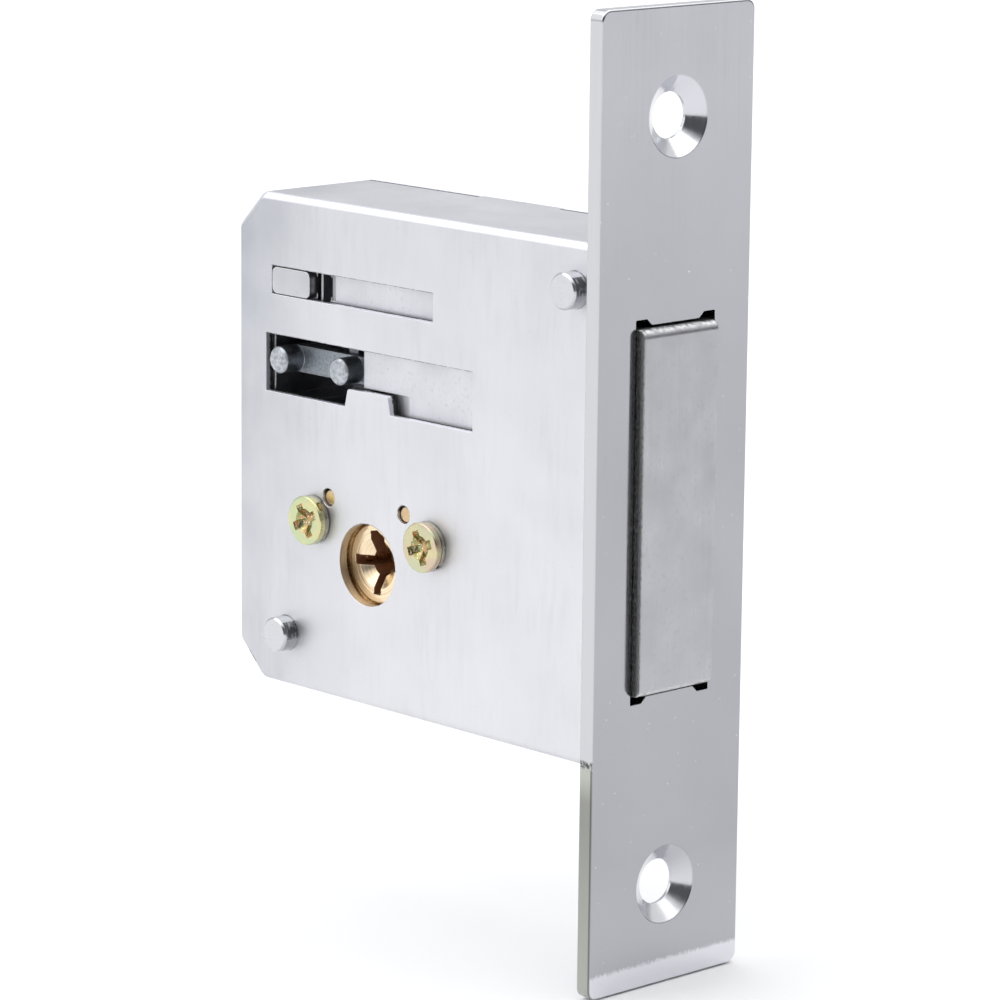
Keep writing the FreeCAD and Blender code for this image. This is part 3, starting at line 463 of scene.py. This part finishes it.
def satin_casting(metals):
    """Zinc die casting under satin nickel: a soft grey nose with fine drag marks and a dull speckled skin
    on its flanks by the window, painted darker as shade close to the window, and a ragged painted
    highlight on the edges and where the nose rounds over at its ends."""
    material, tree, inputs = bare_metal("Satin_nickel_on_die_casting", metals.bolt, 0.3)
    rounding, edge = broken_edge(tree, 0.18, 0.7)
    flank = facing_both(tree, (0, 1, 0))
    nose = depth_share(tree, "X", plate_high, -1.2, -0.4)
    skin = add_node(tree, "ShaderNodeMath", {0: flank, 1: nose}, operation="MULTIPLY")
    lug = depth_share(tree, "Y", bolt_low, 0.7, 0.5, 0.16)
    # Painted shade: the flank skin close to the window, up to just in front of the faceplate, is darkened to
    # a third.
    proud = depth_share(tree, "X", plate_high, 0.6, 0.85)
    skin_with_window_shade = layered(tree, shade(metals.bolt_skin, 0.3), (metals.bolt_skin, proud))
    pits = patches(tree, 0.28, 0.0, 1.0, stretch=(0.6, 1.0, 2.0), sharp=(0.46, 0.66))
    pitted = add_node(tree, "ShaderNodeMath", {0: skin, 1: pits}, operation="MULTIPLY")
    cloudy = patches(tree, 7.0, 0.0, 0.16, detail=4.0)
    grain = patches(tree, 0.5, 0.0, 0.2, detail=2.0, sharp=(0.55, 0.72))
    grey = add_node(tree, "ShaderNodeMath", {0: cloudy, 1: grain}, operation="MAXIMUM")
    dull = add_node(tree, "ShaderNodeMath", {0: pitted, 1: grey}, operation="MAXIMUM")
    # Painted highlight: near white on the broken edges and in ragged patches on the end faces where the nose
    # rounds over.
    ragged = patches(tree, 0.7, 0.2, 1.0, stretch=(1.0, 1.0, 0.6), detail=4.0, sharp=(0.35, 0.55))
    by_nose = depth_share(tree, "X", bolt_high, -1.6, -0.9)
    end_skin = add_node(tree, "ShaderNodeMath", {0: facing_both(tree, (0, 0, 1)), 1: by_nose},
                        operation="MULTIPLY")
    ragged_end_highlight = add_node(tree, "ShaderNodeMath", {0: end_skin, 1: ragged}, operation="MULTIPLY")
    bare = add_node(tree, "ShaderNodeMath", {0: edge, 1: ragged_end_highlight}, operation="MAXIMUM")
    colour = layered(tree, metals.bolt, (metals.bolt_flank, flank), (shade(metals.bolt, 0.15), lug),
                     (skin_with_window_shade, skin), (shade(metals.bolt, 0.4), dull), (linear("F3F2F0"), bare))
    drag = patches(tree, 1.0, 0.0, 0.08, stretch=(0.25, 0.25, 16.0), detail=2.0)
    dragged = add_node(tree, "ShaderNodeMath", {0: patches(tree, 4.0, 0.24, 0.34), 1: drag},
                       operation="ADD")
    rough = add_node(tree, "ShaderNodeMath", {0: flank, 1: 0.16, 2: dragged}, operation="MULTIPLY_ADD")
    finish(tree, inputs, colour, rough, rounding, (patches(tree, 3.0, 0.0, 1.0), 0.008),
           (ragged_end_highlight, -0.05), (pitted, -0.06))
    return material


def raw_casting(metals):
    """Unplated zinc casting: a mottled mid grey with a granular skin and lighter rubbed ends."""
    material, tree, inputs = bare_metal("Raw_zinc_casting", metals.lever, 0.46)
    rounding, edge = broken_edge(tree, 0.2, 0.8)
    grain = patches(tree, 0.35, 0.0, 0.7, detail=5.0)
    end = depth_share(tree, "Y", lever_low, 0.6, 0.1, 0.75)
    worn = add_node(tree, "ShaderNodeMath", {0: end, 1: patches(tree, 0.45, 1.0, 0.1, detail=4.0)},
                    operation="MULTIPLY")
    rubbed = add_node(tree, "ShaderNodeMath", {0: edge, 1: worn}, operation="MAXIMUM")
    colour = layered(tree, metals.lever, (shade(metals.lever, 0.45), grain), (metals.lever_rubbed, rubbed))
    finish(tree, inputs, colour, patches(tree, 0.9, 0.34, 0.56, detail=4.0), rounding, (grain, 0.03))
    return material


def spring_wire(metals):
    """Cold-drawn spring steel: a dark grey wire with a narrow bright line along each turn."""
    material, tree, inputs = bare_metal("Drawn_spring_wire", metals.spring, 0.24)
    film = patches(tree, 1.1, 0.0, 0.7)
    colour = layered(tree, metals.spring, (shade(metals.spring, 0.5), film))
    finish(tree, inputs, colour, patches(tree, 0.6, 0.18, 0.34), None,
           (patches(tree, 0.12, 0.0, 1.0, detail=2.0), 0.003))
    return material


def turned_brass(metals, name, colour, centre):
    """Free-cutting brass off the lathe: warm tan rings under a thin uneven film."""
    material, tree, inputs = bare_metal(name, colour, 0.24)
    rounding, edge = broken_edge(tree, 0.12, 0.5)
    rings = turned_rings(tree, centre, 0.3)
    faint = add_node(tree, "ShaderNodeMapRange", {"Value": rings, "To Max": 0.16})
    film = add_node(tree, "ShaderNodeMath", {0: patches(tree, 1.8, 0.0, 0.3), 1: faint},
                    operation="MAXIMUM")
    filmed = layered(tree, colour, (metals.tarnish, film), (linear("F0DDB8"), edge))
    finish(tree, inputs, filmed, patches(tree, 1.2, 0.18, 0.32), rounding, (rings, 0.0035))
    return material


def plug_brass(metals):
    """Turned brass with brown painted shade in the keyway and on the plug's inner walls, where it lies deep.
    """
    centre = (plug_low + plug_high) / 2
    material, tree, inputs = bare_metal("Turned_plug_brass", metals.plug, 0.22)
    rounding, edge = broken_edge(tree, 0.1, 0.5)
    rings = turned_rings(tree, centre, 0.42)
    # Painted shade: brown in the keyway and on the plug's inner walls, where it lies deep.
    deep = depth_share(tree, "Y", plug_low, 1.0, 1.5)
    wall = add_node(tree, "ShaderNodeMath",
                    {0: near_axis(tree, centre, 4.4, 4.2), 1: facing(tree, (0, -1, 0))},
                    operation="SUBTRACT", use_clamp=True)
    brown = add_node(tree, "ShaderNodeMath", {0: wall, 1: deep}, operation="MAXIMUM")
    faint = add_node(tree, "ShaderNodeMapRange", {"Value": rings, "To Max": 0.13})
    colour = layered(tree, metals.plug, (metals.tarnish, faint), (metals.keyway, brown),
                     (linear("F0DDB8"), edge))
    matt = add_node(tree, "ShaderNodeMapRange", {"Value": brown, "To Max": 0.3})
    rough = add_node(tree, "ShaderNodeMath", {0: patches(tree, 1.2, 0.14, 0.24), 1: matt}, operation="ADD")
    finish(tree, inputs, colour, rough, rounding, (rings, 0.002))
    return material


def yellow_passivate(colours):
    """Yellow passivated zinc on a small screw: pale straw with drifting green and pink patches."""
    material, tree, inputs = bare_metal("Yellow_passivated_zinc", colours.screws, 0.22)
    rounding, edge = broken_edge(tree, 0.08, 0.45)
    green = patches(tree, 2.6, 0.0, 0.95, detail=2.0, sharp=(0.42, 0.6))
    pink = patches(tree, 1.9, 0.35, 1.0, detail=2.0, sharp=(0.4, 0.62))
    forward = depth_share(tree, "X", screw_low, 0, (screw_high.x - screw_low.x) / MM, 0.85)
    colour = layered(tree, colours.screws, (colours.screws_green, green),
                     (colours.screws_pink, pink, forward), (linear("F2EED6"), edge))
    finish(tree, inputs, colour, patches(tree, 0.8, 0.14, 0.3, detail=4.0), rounding,
           (patches(tree, 0.5, 0.0, 1.0, detail=4.0), 0.008))
    return material


def recess_film(colours):
    """Passivate pooled in a screw's recess: a thick olive and orange film, with scattered pale painted
    glints.
    """
    material, tree, inputs = bare_metal("Pooled_yellow_passivate", colours.recess, 0.3)
    rounding, edge = broken_edge(tree, 0.1, 0.4)
    orange = patches(tree, 0.55, 0.0, 1.0, detail=1.0, sharp=(0.5, 0.56))
    # Painted highlight: scattered pale glints on the film.
    ragged_painted_light = patches(tree, 0.22, 0.0, 0.85, detail=1.0, sharp=(0.57, 0.65))
    colour = layered(tree, colours.recess, (colours.recess_glint, orange), (linear("F2EED6"), ragged_painted_light),
                     (colours.screws, edge))
    finish(tree, inputs, colour, patches(tree, 0.4, 0.16, 0.4, detail=2.0), rounding, (ragged_painted_light, 0.03))
    return material


def washer_steel(colours):
    """Plated spring steel with sheared edges: dull straw grey, dragged along the band."""
    material, tree, inputs = bare_metal("Plated_spring_washer_steel", colours.washers, 0.3)
    rounding, edge = broken_edge(tree, 0.08, 0.5)
    sheared = patches(tree, 0.3, 0.0, 0.6, stretch=(3.0, 0.5, 3.0))
    colour = layered(tree, colours.washers, (shade(colours.washers, 0.3), sheared),
                     (shade(colours.washers, 1.5), edge))
    finish(tree, inputs, colour, patches(tree, 0.7, 0.22, 0.4), rounding, (sheared, 0.012))
    return material


def sintered_steel(metals):
    """Pressed and sintered steel: a dark, even grey with open pores."""
    material, tree, inputs = bare_metal("Sintered_steel", metals.finger, 0.42)
    rounding, edge = broken_edge(tree, 0.15, 0.4)
    pores = patches(tree, 0.3, 0.0, 0.8, detail=2.0, sharp=(0.6, 0.68))
    colour = layered(tree, metals.finger, (shade(metals.finger, 0.4), pores),
                     (shade(metals.finger, 1.6), edge))
    finish(tree, inputs, colour, patches(tree, 2.0, 0.34, 0.52), rounding, (pores, -0.02))
    return material


def white_paper(stage):
    """Matt background paper: plain white with a faint fibre in its sheen."""
    paper = bpy.data.materials.new("Matt_white_paper")
    paper.use_nodes = True
    tree = paper.node_tree
    inputs = tree.nodes["Principled BSDF"].inputs
    inputs["Base Color"].default_value = stage.floor
    inputs["Specular IOR Level"].default_value = 0.2
    tree.links.new(patches(tree, 1.2, 0.86, 0.94, detail=4.0), inputs["Roughness"])
    return paper


def give(node, material):
    """Puts a finish on a CAD node in place of its plain one."""
    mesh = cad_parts[node].data
    mesh.materials.clear()
    mesh.materials.append(material)


# Meshes

def finished_object(name, mesh, material):
    piece = bpy.data.objects.new(name, mesh)
    bpy.context.scene.collection.objects.link(piece)
    mesh.materials.append(material)
    return piece


def profile_edges(shape, points):
    """A string of edges in the XY plane, from points given as radius and depth."""
    corners = [shape.verts.new((radius, depth, 0.0)) for radius, depth in points]
    for pair in zip(corners, corners[1:]):
        shape.edges.new(pair)
    return corners


def round_turn(shape, geometry, sides, angle=2 * math.pi, rise=0.0, merge=True):
    """Spins geometry about Y, with an even rise along Y at each step."""
    return bmesh.ops.spin(shape, geom=geometry, cent=(0, 0, 0), axis=(0, 1, 0), dvec=(0, rise, 0),
                          angle=angle, steps=sides, use_merge=merge, use_duplicate=False)


def mesh_of(shape, name):
    mesh = bpy.data.meshes.new(name)
    shape.to_mesh(mesh)
    shape.free()
    return mesh


def screw_body(sizes, top, end):
    """The head and core of a screw: a profile with a rounded rim, spun about the screw's axis."""
    shape = bmesh.new()
    core = sizes.shank_radius - sizes.thread_depth
    under = top + sizes.head_height
    corners = profile_edges(shape, [
        (0.0, top), (sizes.head_radius, top), (sizes.head_radius, under),
        (core, under), (core, end), (0.0, end)])
    rim, underside, tip = corners[1], corners[2], corners[4]
    for corner, share, segments in ((rim, 1, 4), (underside, 1 / 3, 2), (tip, 1, 1)):
        bmesh.ops.bevel(shape, geom=[corner], offset=sizes.head_round * share, offset_type="OFFSET",
                        segments=segments, profile=0.5, affect="VERTICES", material=-1)
    round_turn(shape, shape.verts[:] + shape.edges[:], sizes.sides)
    bmesh.ops.remove_doubles(shape, verts=shape.verts[:], dist=0.002 * MM)
    bmesh.ops.recalc_face_normals(shape, faces=shape.faces[:])
    return shape


def thread_ridge(sizes, start, end):
    """One unbroken ridge that winds along the shank, closed at both ends."""
    shape = bmesh.new()
    foot = sizes.shank_radius - sizes.thread_depth - 0.02 * MM
    half = sizes.thread_pitch * 0.36
    turns = (end - start - 2 * half) / sizes.thread_pitch
    steps = int(24 * turns)
    ridge = shape.faces.new([shape.verts.new(p) for p in (
        (foot, start, 0), (sizes.shank_radius, start + half, 0), (foot, start + 2 * half, 0))])
    round_turn(shape, [ridge] + ridge.edges[:] + ridge.verts[:], steps, angle=2 * math.pi * turns,
               rise=sizes.thread_pitch * turns / steps, merge=False)
    bmesh.ops.recalc_face_normals(shape, faces=shape.faces[:])
    return shape


def recess_cutter(sizes, top):
    """Two tapered blades crossed at right angles over a short cone, as the driver's tip."""
    shape = bmesh.new()
    proud = 0.1 * MM
    depth = sizes.recess_depth + proud
    middle = top - proud + depth / 2
    taper = (0.5, 1.0, 0.55)
    mouth, point = sizes.recess_width * 1.4, sizes.recess_width * 0.4
    for turn in (0.0, math.pi / 2):
        blade = bmesh.ops.create_cube(shape, size=1.0)["verts"]
        bmesh.ops.scale(shape, verts=blade, vec=(2 * sizes.recess_arm, depth, sizes.recess_width))
        deep = [v for v in blade if v.co.y > 0]
        bmesh.ops.scale(shape, verts=deep, vec=taper)
        bmesh.ops.rotate(shape, verts=blade, cent=(0, 0, 0), matrix=Matrix.Rotation(turn, 3, "Y"))
        bmesh.ops.translate(shape, verts=blade, vec=(0, middle, 0))
    tip = bmesh.ops.create_cone(shape, cap_ends=True, segments=20, radius1=mouth, radius2=point,
                                depth=depth)["verts"]
    bmesh.ops.rotate(shape, verts=tip, cent=(0, 0, 0), matrix=Matrix.Rotation(-math.pi / 2, 3, "X"))
    bmesh.ops.translate(shape, verts=tip, vec=(0, middle, 0))
    return shape


def cut_away(target, cutter_mesh, material):
    """Takes the cutter's volume out of the target, and leaves the cutter's finish on the cut."""
    cutter_mesh.materials.append(material)
    cutter = bpy.data.objects.new("recess_cutter", cutter_mesh)
    bpy.context.scene.collection.objects.link(cutter)
    cut = target.modifiers.new("Recess", "BOOLEAN")
    cut.operation = "DIFFERENCE"
    cut.solver = "EXACT"
    cut.material_mode = "TRANSFER"
    cut.use_self = True
    cut.object = cutter
    graph = bpy.context.evaluated_depsgraph_get()
    mesh = bpy.data.meshes.new_from_object(target.evaluated_get(graph))
    target.modifiers.clear()
    target.data = mesh
    bpy.data.objects.remove(cutter)


def smooth_by_angle(mesh, degrees):
    shape = bmesh.new()
    shape.from_mesh(mesh)
    limit = math.radians(degrees)
    for face in shape.faces:
        face.smooth = True
    for edge in shape.edges:
        edge.smooth = len(edge.link_faces) == 2 and edge.calc_face_angle(0.0) < limit
    shape.to_mesh(mesh)
    shape.free()


def put(mesh, turn, place):
    mesh.transform(Matrix.Translation(place) @ Matrix.Rotation(turn, 4, "Y"))


def washer_band(sizes, outer, near, far):
    """A split band with rounded corners, whose one end stands off the other as it does when sprung."""
    shape = bmesh.new()
    bore, edge = sizes.washer_bore, near + sizes.washer_wire
    sweep = math.radians(349)
    corner_round = 0.14 * MM
    section = shape.faces.new([shape.verts.new(p) for p in (
        (bore, near, 0), (outer, near, 0), (outer, edge, 0), (bore, edge, 0))])
    bmesh.ops.bevel(shape, geom=section.verts[:], offset=corner_round, offset_type="OFFSET",
                    segments=2, profile=0.5, affect="VERTICES", material=-1)
    section = max(shape.faces, key=lambda f: f.calc_area())
    geometry = [section] + section.edges[:] + section.verts[:]
    round_turn(shape, geometry, sizes.sides, angle=sweep, rise=(far - edge) / sizes.sides, merge=False)
    bmesh.ops.recalc_face_normals(shape, faces=shape.faces[:])
    return shape


def wound_wire(sizes, outer, height):
    """A helix of round wire about Y, closed at both ends."""
    shape = bmesh.new()
    half = sizes.coil_wire / 2
    bmesh.ops.create_circle(shape, cap_ends=True, radius=half, segments=14)
    bmesh.ops.translate(shape, verts=shape.verts[:], vec=(outer - half, half, 0))
    steps = int(36 * sizes.coil_turns)
    round_turn(shape, shape.faces[:] + shape.edges[:] + shape.verts[:], steps,
               angle=2 * math.pi * sizes.coil_turns, rise=(height - 2 * half) / steps, merge=False)
    bmesh.ops.recalc_face_normals(shape, faces=shape.faces[:])
    return shape


# Operators

class DEADBOLT_OT_faceplate(bpy.types.Operator):
    """Plates the faceplate with polished chrome"""
    bl_idname = "deadbolt.faceplate"
    bl_label = "Faceplate"

    def execute(self, context):
        give("faceplate", chrome_plate(context.scene.deadbolt_platings))
        return {"FINISHED"}


class DEADBOLT_OT_case(bpy.types.Operator):
    """Plates the folded case and its cover with bright zinc"""
    bl_idname = "deadbolt.case"
    bl_label = "Case and cover"

    def execute(self, context):
        colours = context.scene.deadbolt_platings
        inset = Vector((2 * MM, 0, 2 * MM))
        near_low = Vector((cover_low.x, case_low.y, cover_low.z))
        near_high = Vector((cover_high.x, case_low.y + 1.5 * MM, cover_high.z))
        give("case_body", zinc_plate(colours, "case", near_low + inset, near_high - inset))
        give("cover_plate", zinc_plate(colours, "cover", cover_low - inset, cover_high + inset))
        return {"FINISHED"}


class DEADBOLT_OT_posts(bpy.types.Operator):
    """Finishes the two turned posts"""
    bl_idname = "deadbolt.posts"
    bl_label = "Posts"

    def execute(self, context):
        for node in ("front_post", "rear_post"):
            low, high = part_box(node)
            give(node, post_plate(context.scene.deadbolt_platings, node, (low + high) / 2))
        return {"FINISHED"}


class DEADBOLT_OT_bolt(bpy.types.Operator):
    """Gives the bolt its satin plated casting"""
    bl_idname = "deadbolt.bolt"
    bl_label = "Bolt"

    def execute(self, context):
        give("bolt", satin_casting(context.scene.deadbolt_metals))
        return {"FINISHED"}


class DEADBOLT_OT_lever(bpy.types.Operator):
    """Finishes the cast locking lever, and winds its spring"""
    bl_idname = "deadbolt.lever"
    bl_label = "Lever and spring"

    def execute(self, context):
        metals = context.scene.deadbolt_metals
        sizes = context.scene.deadbolt_fasteners
        give("locking_lever", raw_casting(metals))
        wire = spring_wire(metals)
        for node in ("tumbler_springs", "finger_clip"):
            give(node, wire)
        low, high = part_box("lever_spring")
        foot = Vector(((low.x + high.x) / 2, (low.y + high.y) / 2, low.z))
        coil = mesh_of(wound_wire(sizes, (high.x - low.x) / 2, high.z - low.z), "spring")
        smooth_by_angle(coil, 40)
        coil.transform(Matrix.Translation(foot) @ Matrix.Rotation(math.pi / 2, 4, "X"))
        piece = finished_object("lever_spring_coil", coil, wire)
        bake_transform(piece)
        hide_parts("lever_spring")
        return {"FINISHED"}


class DEADBOLT_OT_cylinder(bpy.types.Operator):
    """Finishes the turned brass cylinder, its plug, its pins and the key finger"""
    bl_idname = "deadbolt.cylinder"
    bl_label = "Cylinder"

    def execute(self, context):
        metals = context.scene.deadbolt_metals
        brass = turned_brass(metals, "Turned_brass", metals.brass, (plug_low + plug_high) / 2)
        for node in ("cylinder_housing", "housing_sleeve", "key_pins", "driver_pins"):
            give(node, brass)
        give("cylinder_plug", plug_brass(metals))
        give("key_finger", sintered_steel(metals))
        return {"FINISHED"}


class DEADBOLT_OT_locating_pins(bpy.types.Operator):
    """Finishes the two brass locating pins"""
    bl_idname = "deadbolt.locating_pins"
    bl_label = "Locating pins"

    def execute(self, context):
        metals = context.scene.deadbolt_metals
        low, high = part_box("locating_pins")
        give("locating_pins", turned_brass(metals, "Brass_pin_stock", metals.brass, (low + high) / 2))
        return {"FINISHED"}


class DEADBOLT_OT_screws(bpy.types.Operator):
    """Turns the two cylinder screws, with their threads and cross recesses"""
    bl_idname = "deadbolt.screws"
    bl_label = "Cylinder screws"

    def execute(self, context):
        sizes = context.scene.deadbolt_fasteners
        colours = context.scene.deadbolt_platings
        yellow, pooled = yellow_passivate(colours), recess_film(colours)
        top = screw_low.y
        end = screw_high.y
        height = (screw_low.z + screw_high.z) / 2
        for name, x, turn in (("rear", screw_low.x + sizes.head_radius, -28.0),
                              ("front", screw_high.x - sizes.head_radius, -21.0)):
            piece = finished_object("cylinder_screw_" + name, mesh_of(screw_body(sizes, top, end), "screw"),
                                    yellow)
            cut_away(piece, mesh_of(recess_cutter(sizes, top), "recess"), pooled)
            smooth_by_angle(piece.data, 32)
            put(piece.data, math.radians(turn), Vector((x, 0, height)))
            start = top + sizes.head_height + 0.05 * MM
            ridge = mesh_of(thread_ridge(sizes, start, end - sizes.head_round), "thread")
            smooth_by_angle(ridge, 40)
            put(ridge, 0.0, Vector((x, 0, height)))
            thread = finished_object("screw_thread_" + name, ridge, yellow)
            for part in (piece, thread):
                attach(part, "case")
            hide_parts("cylinder_screws")
        return {"FINISHED"}


class DEADBOLT_OT_washers(bpy.types.Operator):
    """Coils the two split lock washers under the screw heads"""
    bl_idname = "deadbolt.washers"
    bl_label = "Lock washers"

    def execute(self, context):
        sizes = context.scene.deadbolt_fasteners
        steel = washer_steel(context.scene.deadbolt_platings)
        outer = (washer_high.z - washer_low.z) / 2
        height = (washer_low.z + washer_high.z) / 2
        for name, x, turn in (("rear", washer_low.x + outer, 205.0), ("front", washer_high.x - outer, 52.0)):
            band = mesh_of(washer_band(sizes, outer, washer_low.y, washer_high.y), "washer")
            smooth_by_angle(band, 35)
            put(band, math.radians(turn), Vector((x, 0, height)))
            piece = finished_object("lock_washer_" + name, band, steel)
            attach(piece, "case")
            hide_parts("lock_washers")
        return {"FINISHED"}


def wide_light(name, direction, degrees, strength):
    """A large soft light far away, which fills a round of the sky."""
    lamp = bpy.data.lights.new(name, "SUN")
    lamp.angle = math.radians(degrees)
    lamp.energy = strength
    holder = bpy.data.objects.new(name, lamp)
    bpy.context.scene.collection.objects.link(holder)
    holder.rotation_mode = "QUATERNION"
    holder.rotation_quaternion = Vector(direction).to_track_quat("Z", "Y")


class DEADBOLT_OT_stage(bpy.types.Operator):
    """Lays the floor, sets the soft lights and places the camera"""
    bl_idname = "deadbolt.stage"
    bl_label = "Floor, lights and camera"

    def execute(self, context):
        stage = context.scene.deadbolt_stage
        self.lay_floor(stage)
        self.light_room(context, stage)
        self.place_camera(context, stage)
        return {"FINISHED"}

    def lay_floor(self, stage):
        shape = bmesh.new()
        bmesh.ops.create_grid(shape, x_segments=24, y_segments=24, size=4.0)
        bmesh.ops.translate(shape, verts=shape.verts[:], vec=(0, 0, plate_low.z - 0.2 * MM))
        floor = bpy.data.objects.new("floor", mesh_of(shape, "floor"))
        bpy.context.scene.collection.objects.link(floor)
        floor.data.materials.append(white_paper(stage))

    def light_room(self, context, stage):
        world = bpy.data.worlds.new("white_room")
        context.scene.world = world
        world.use_nodes = True
        tree = world.node_tree
        direction = add_node(tree, "ShaderNodeTexCoord", output="Generated")
        wall = add_node(tree, "ShaderNodeMapRange",
                        {"Value": add_node(tree, "ShaderNodeSeparateXYZ", {"Vector": direction}, "X"),
                         "From Min": 0.3, "From Max": -0.3, "To Min": stage.room_in_front,
                         "To Max": stage.room_behind})
        sloped = add_node(tree, "ShaderNodeVectorMath", {0: direction, 1: (0.0, 0.3, 1.0)}, "Value",
                          operation="DOT_PRODUCT")
        ceiling = add_node(tree, "ShaderNodeMapRange",
                           {"Value": sloped, "From Min": 0.35, "From Max": 0.6, "To Max": stage.ceiling})
        brightness = add_node(tree, "ShaderNodeMath", {0: wall, 1: ceiling}, operation="MAXIMUM")
        tree.links.new(brightness, tree.nodes["Background"].inputs["Strength"])
        tree.nodes["Background"].inputs["Color"].default_value = linear("F8F9FC")
        wide_light("top_light", (0.0, 0.0, 1.0), 100, stage.top_light)
        wide_light("side_light", (-0.56, -0.61, 0.56), 56, stage.side_light)
        wide_light("near_light", (-0.28, -0.83, 0.48), 50, stage.near_light)
        context.scene.view_settings.view_transform = "Standard"

    def place_camera(self, context, stage):
        around, above = stage.azimuth, stage.elevation
        back = Vector((math.sin(around) * math.cos(above), -math.cos(around) * math.cos(above),
                       math.sin(above)))
        right = Vector((math.cos(around), math.sin(around), 0))
        up = right.cross(-back)
        right, up = (right * math.cos(stage.roll) + up * math.sin(stage.roll),
                     up * math.cos(stage.roll) - right * math.sin(stage.roll))
        lens = bpy.data.cameras.new("camera")
        lens.sensor_width = 36.0
        lens.lens = stage.lens
        camera = bpy.data.objects.new("camera", lens)
        context.scene.collection.objects.link(camera)
        centre = Vector((plate_high.x, 0, (plate_low.z + plate_high.z) / 2))
        place = centre + back * stage.distance + right * stage.aside + up * stage.above
        camera.matrix_world = Matrix.Translation(place) @ Matrix((right, up, back)).transposed().to_4x4()
        context.scene.camera = camera


class DEADBOLT_PT_panel(bpy.types.Panel):
    """Lists the finishes, the sizes and the steps"""
    bl_idname = "DEADBOLT_PT_panel"
    bl_label = "Mortise Deadbolt"
    bl_space_type = "VIEW_3D"
    bl_region_type = "UI"
    bl_category = "Deadbolt"

    def draw(self, context):
        for operator in OPERATORS:
            self.layout.operator(operator.bl_idname)
        for name in SETTINGS:
            box = self.layout.box()
            settings = getattr(context.scene, name)
            for key in settings.bl_rna.properties.keys():
                if key not in ("rna_type", "name"):
                    box.prop(settings, key)


SETTINGS = {
    "deadbolt_platings": DeadboltPlatings,
    "deadbolt_metals": DeadboltMetals,
    "deadbolt_fasteners": DeadboltFasteners,
    "deadbolt_stage": DeadboltStage,
}
OPERATORS = (
    DEADBOLT_OT_faceplate,
    DEADBOLT_OT_case,
    DEADBOLT_OT_posts,
    DEADBOLT_OT_bolt,
    DEADBOLT_OT_lever,
    DEADBOLT_OT_cylinder,
    DEADBOLT_OT_locating_pins,
    DEADBOLT_OT_screws,
    DEADBOLT_OT_washers,
    DEADBOLT_OT_stage,
)


def register():
    for group in SETTINGS.values():
        bpy.utils.register_class(group)
    for operator in OPERATORS:
        bpy.utils.register_class(operator)
    bpy.utils.register_class(DEADBOLT_PT_panel)
    for name, group in SETTINGS.items():
        setattr(bpy.types.Scene, name, PointerProperty(type=group))


def unregister():
    for name in SETTINGS:
        delattr(bpy.types.Scene, name)
    bpy.utils.unregister_class(DEADBOLT_PT_panel)
    for operator in reversed(OPERATORS):
        bpy.utils.unregister_class(operator)
    for group in reversed(list(SETTINGS.values())):
        bpy.utils.unregister_class(group)


def main():
    register()
    bpy.ops.deadbolt.faceplate()
    bpy.ops.deadbolt.case()
    bpy.ops.deadbolt.posts()
    bpy.ops.deadbolt.bolt()
    bpy.ops.deadbolt.lever()
    bpy.ops.deadbolt.cylinder()
    bpy.ops.deadbolt.locating_pins()
    bpy.ops.deadbolt.screws()
    bpy.ops.deadbolt.washers()
    bpy.ops.deadbolt.stage()


if __name__ == "__main__":
    main()
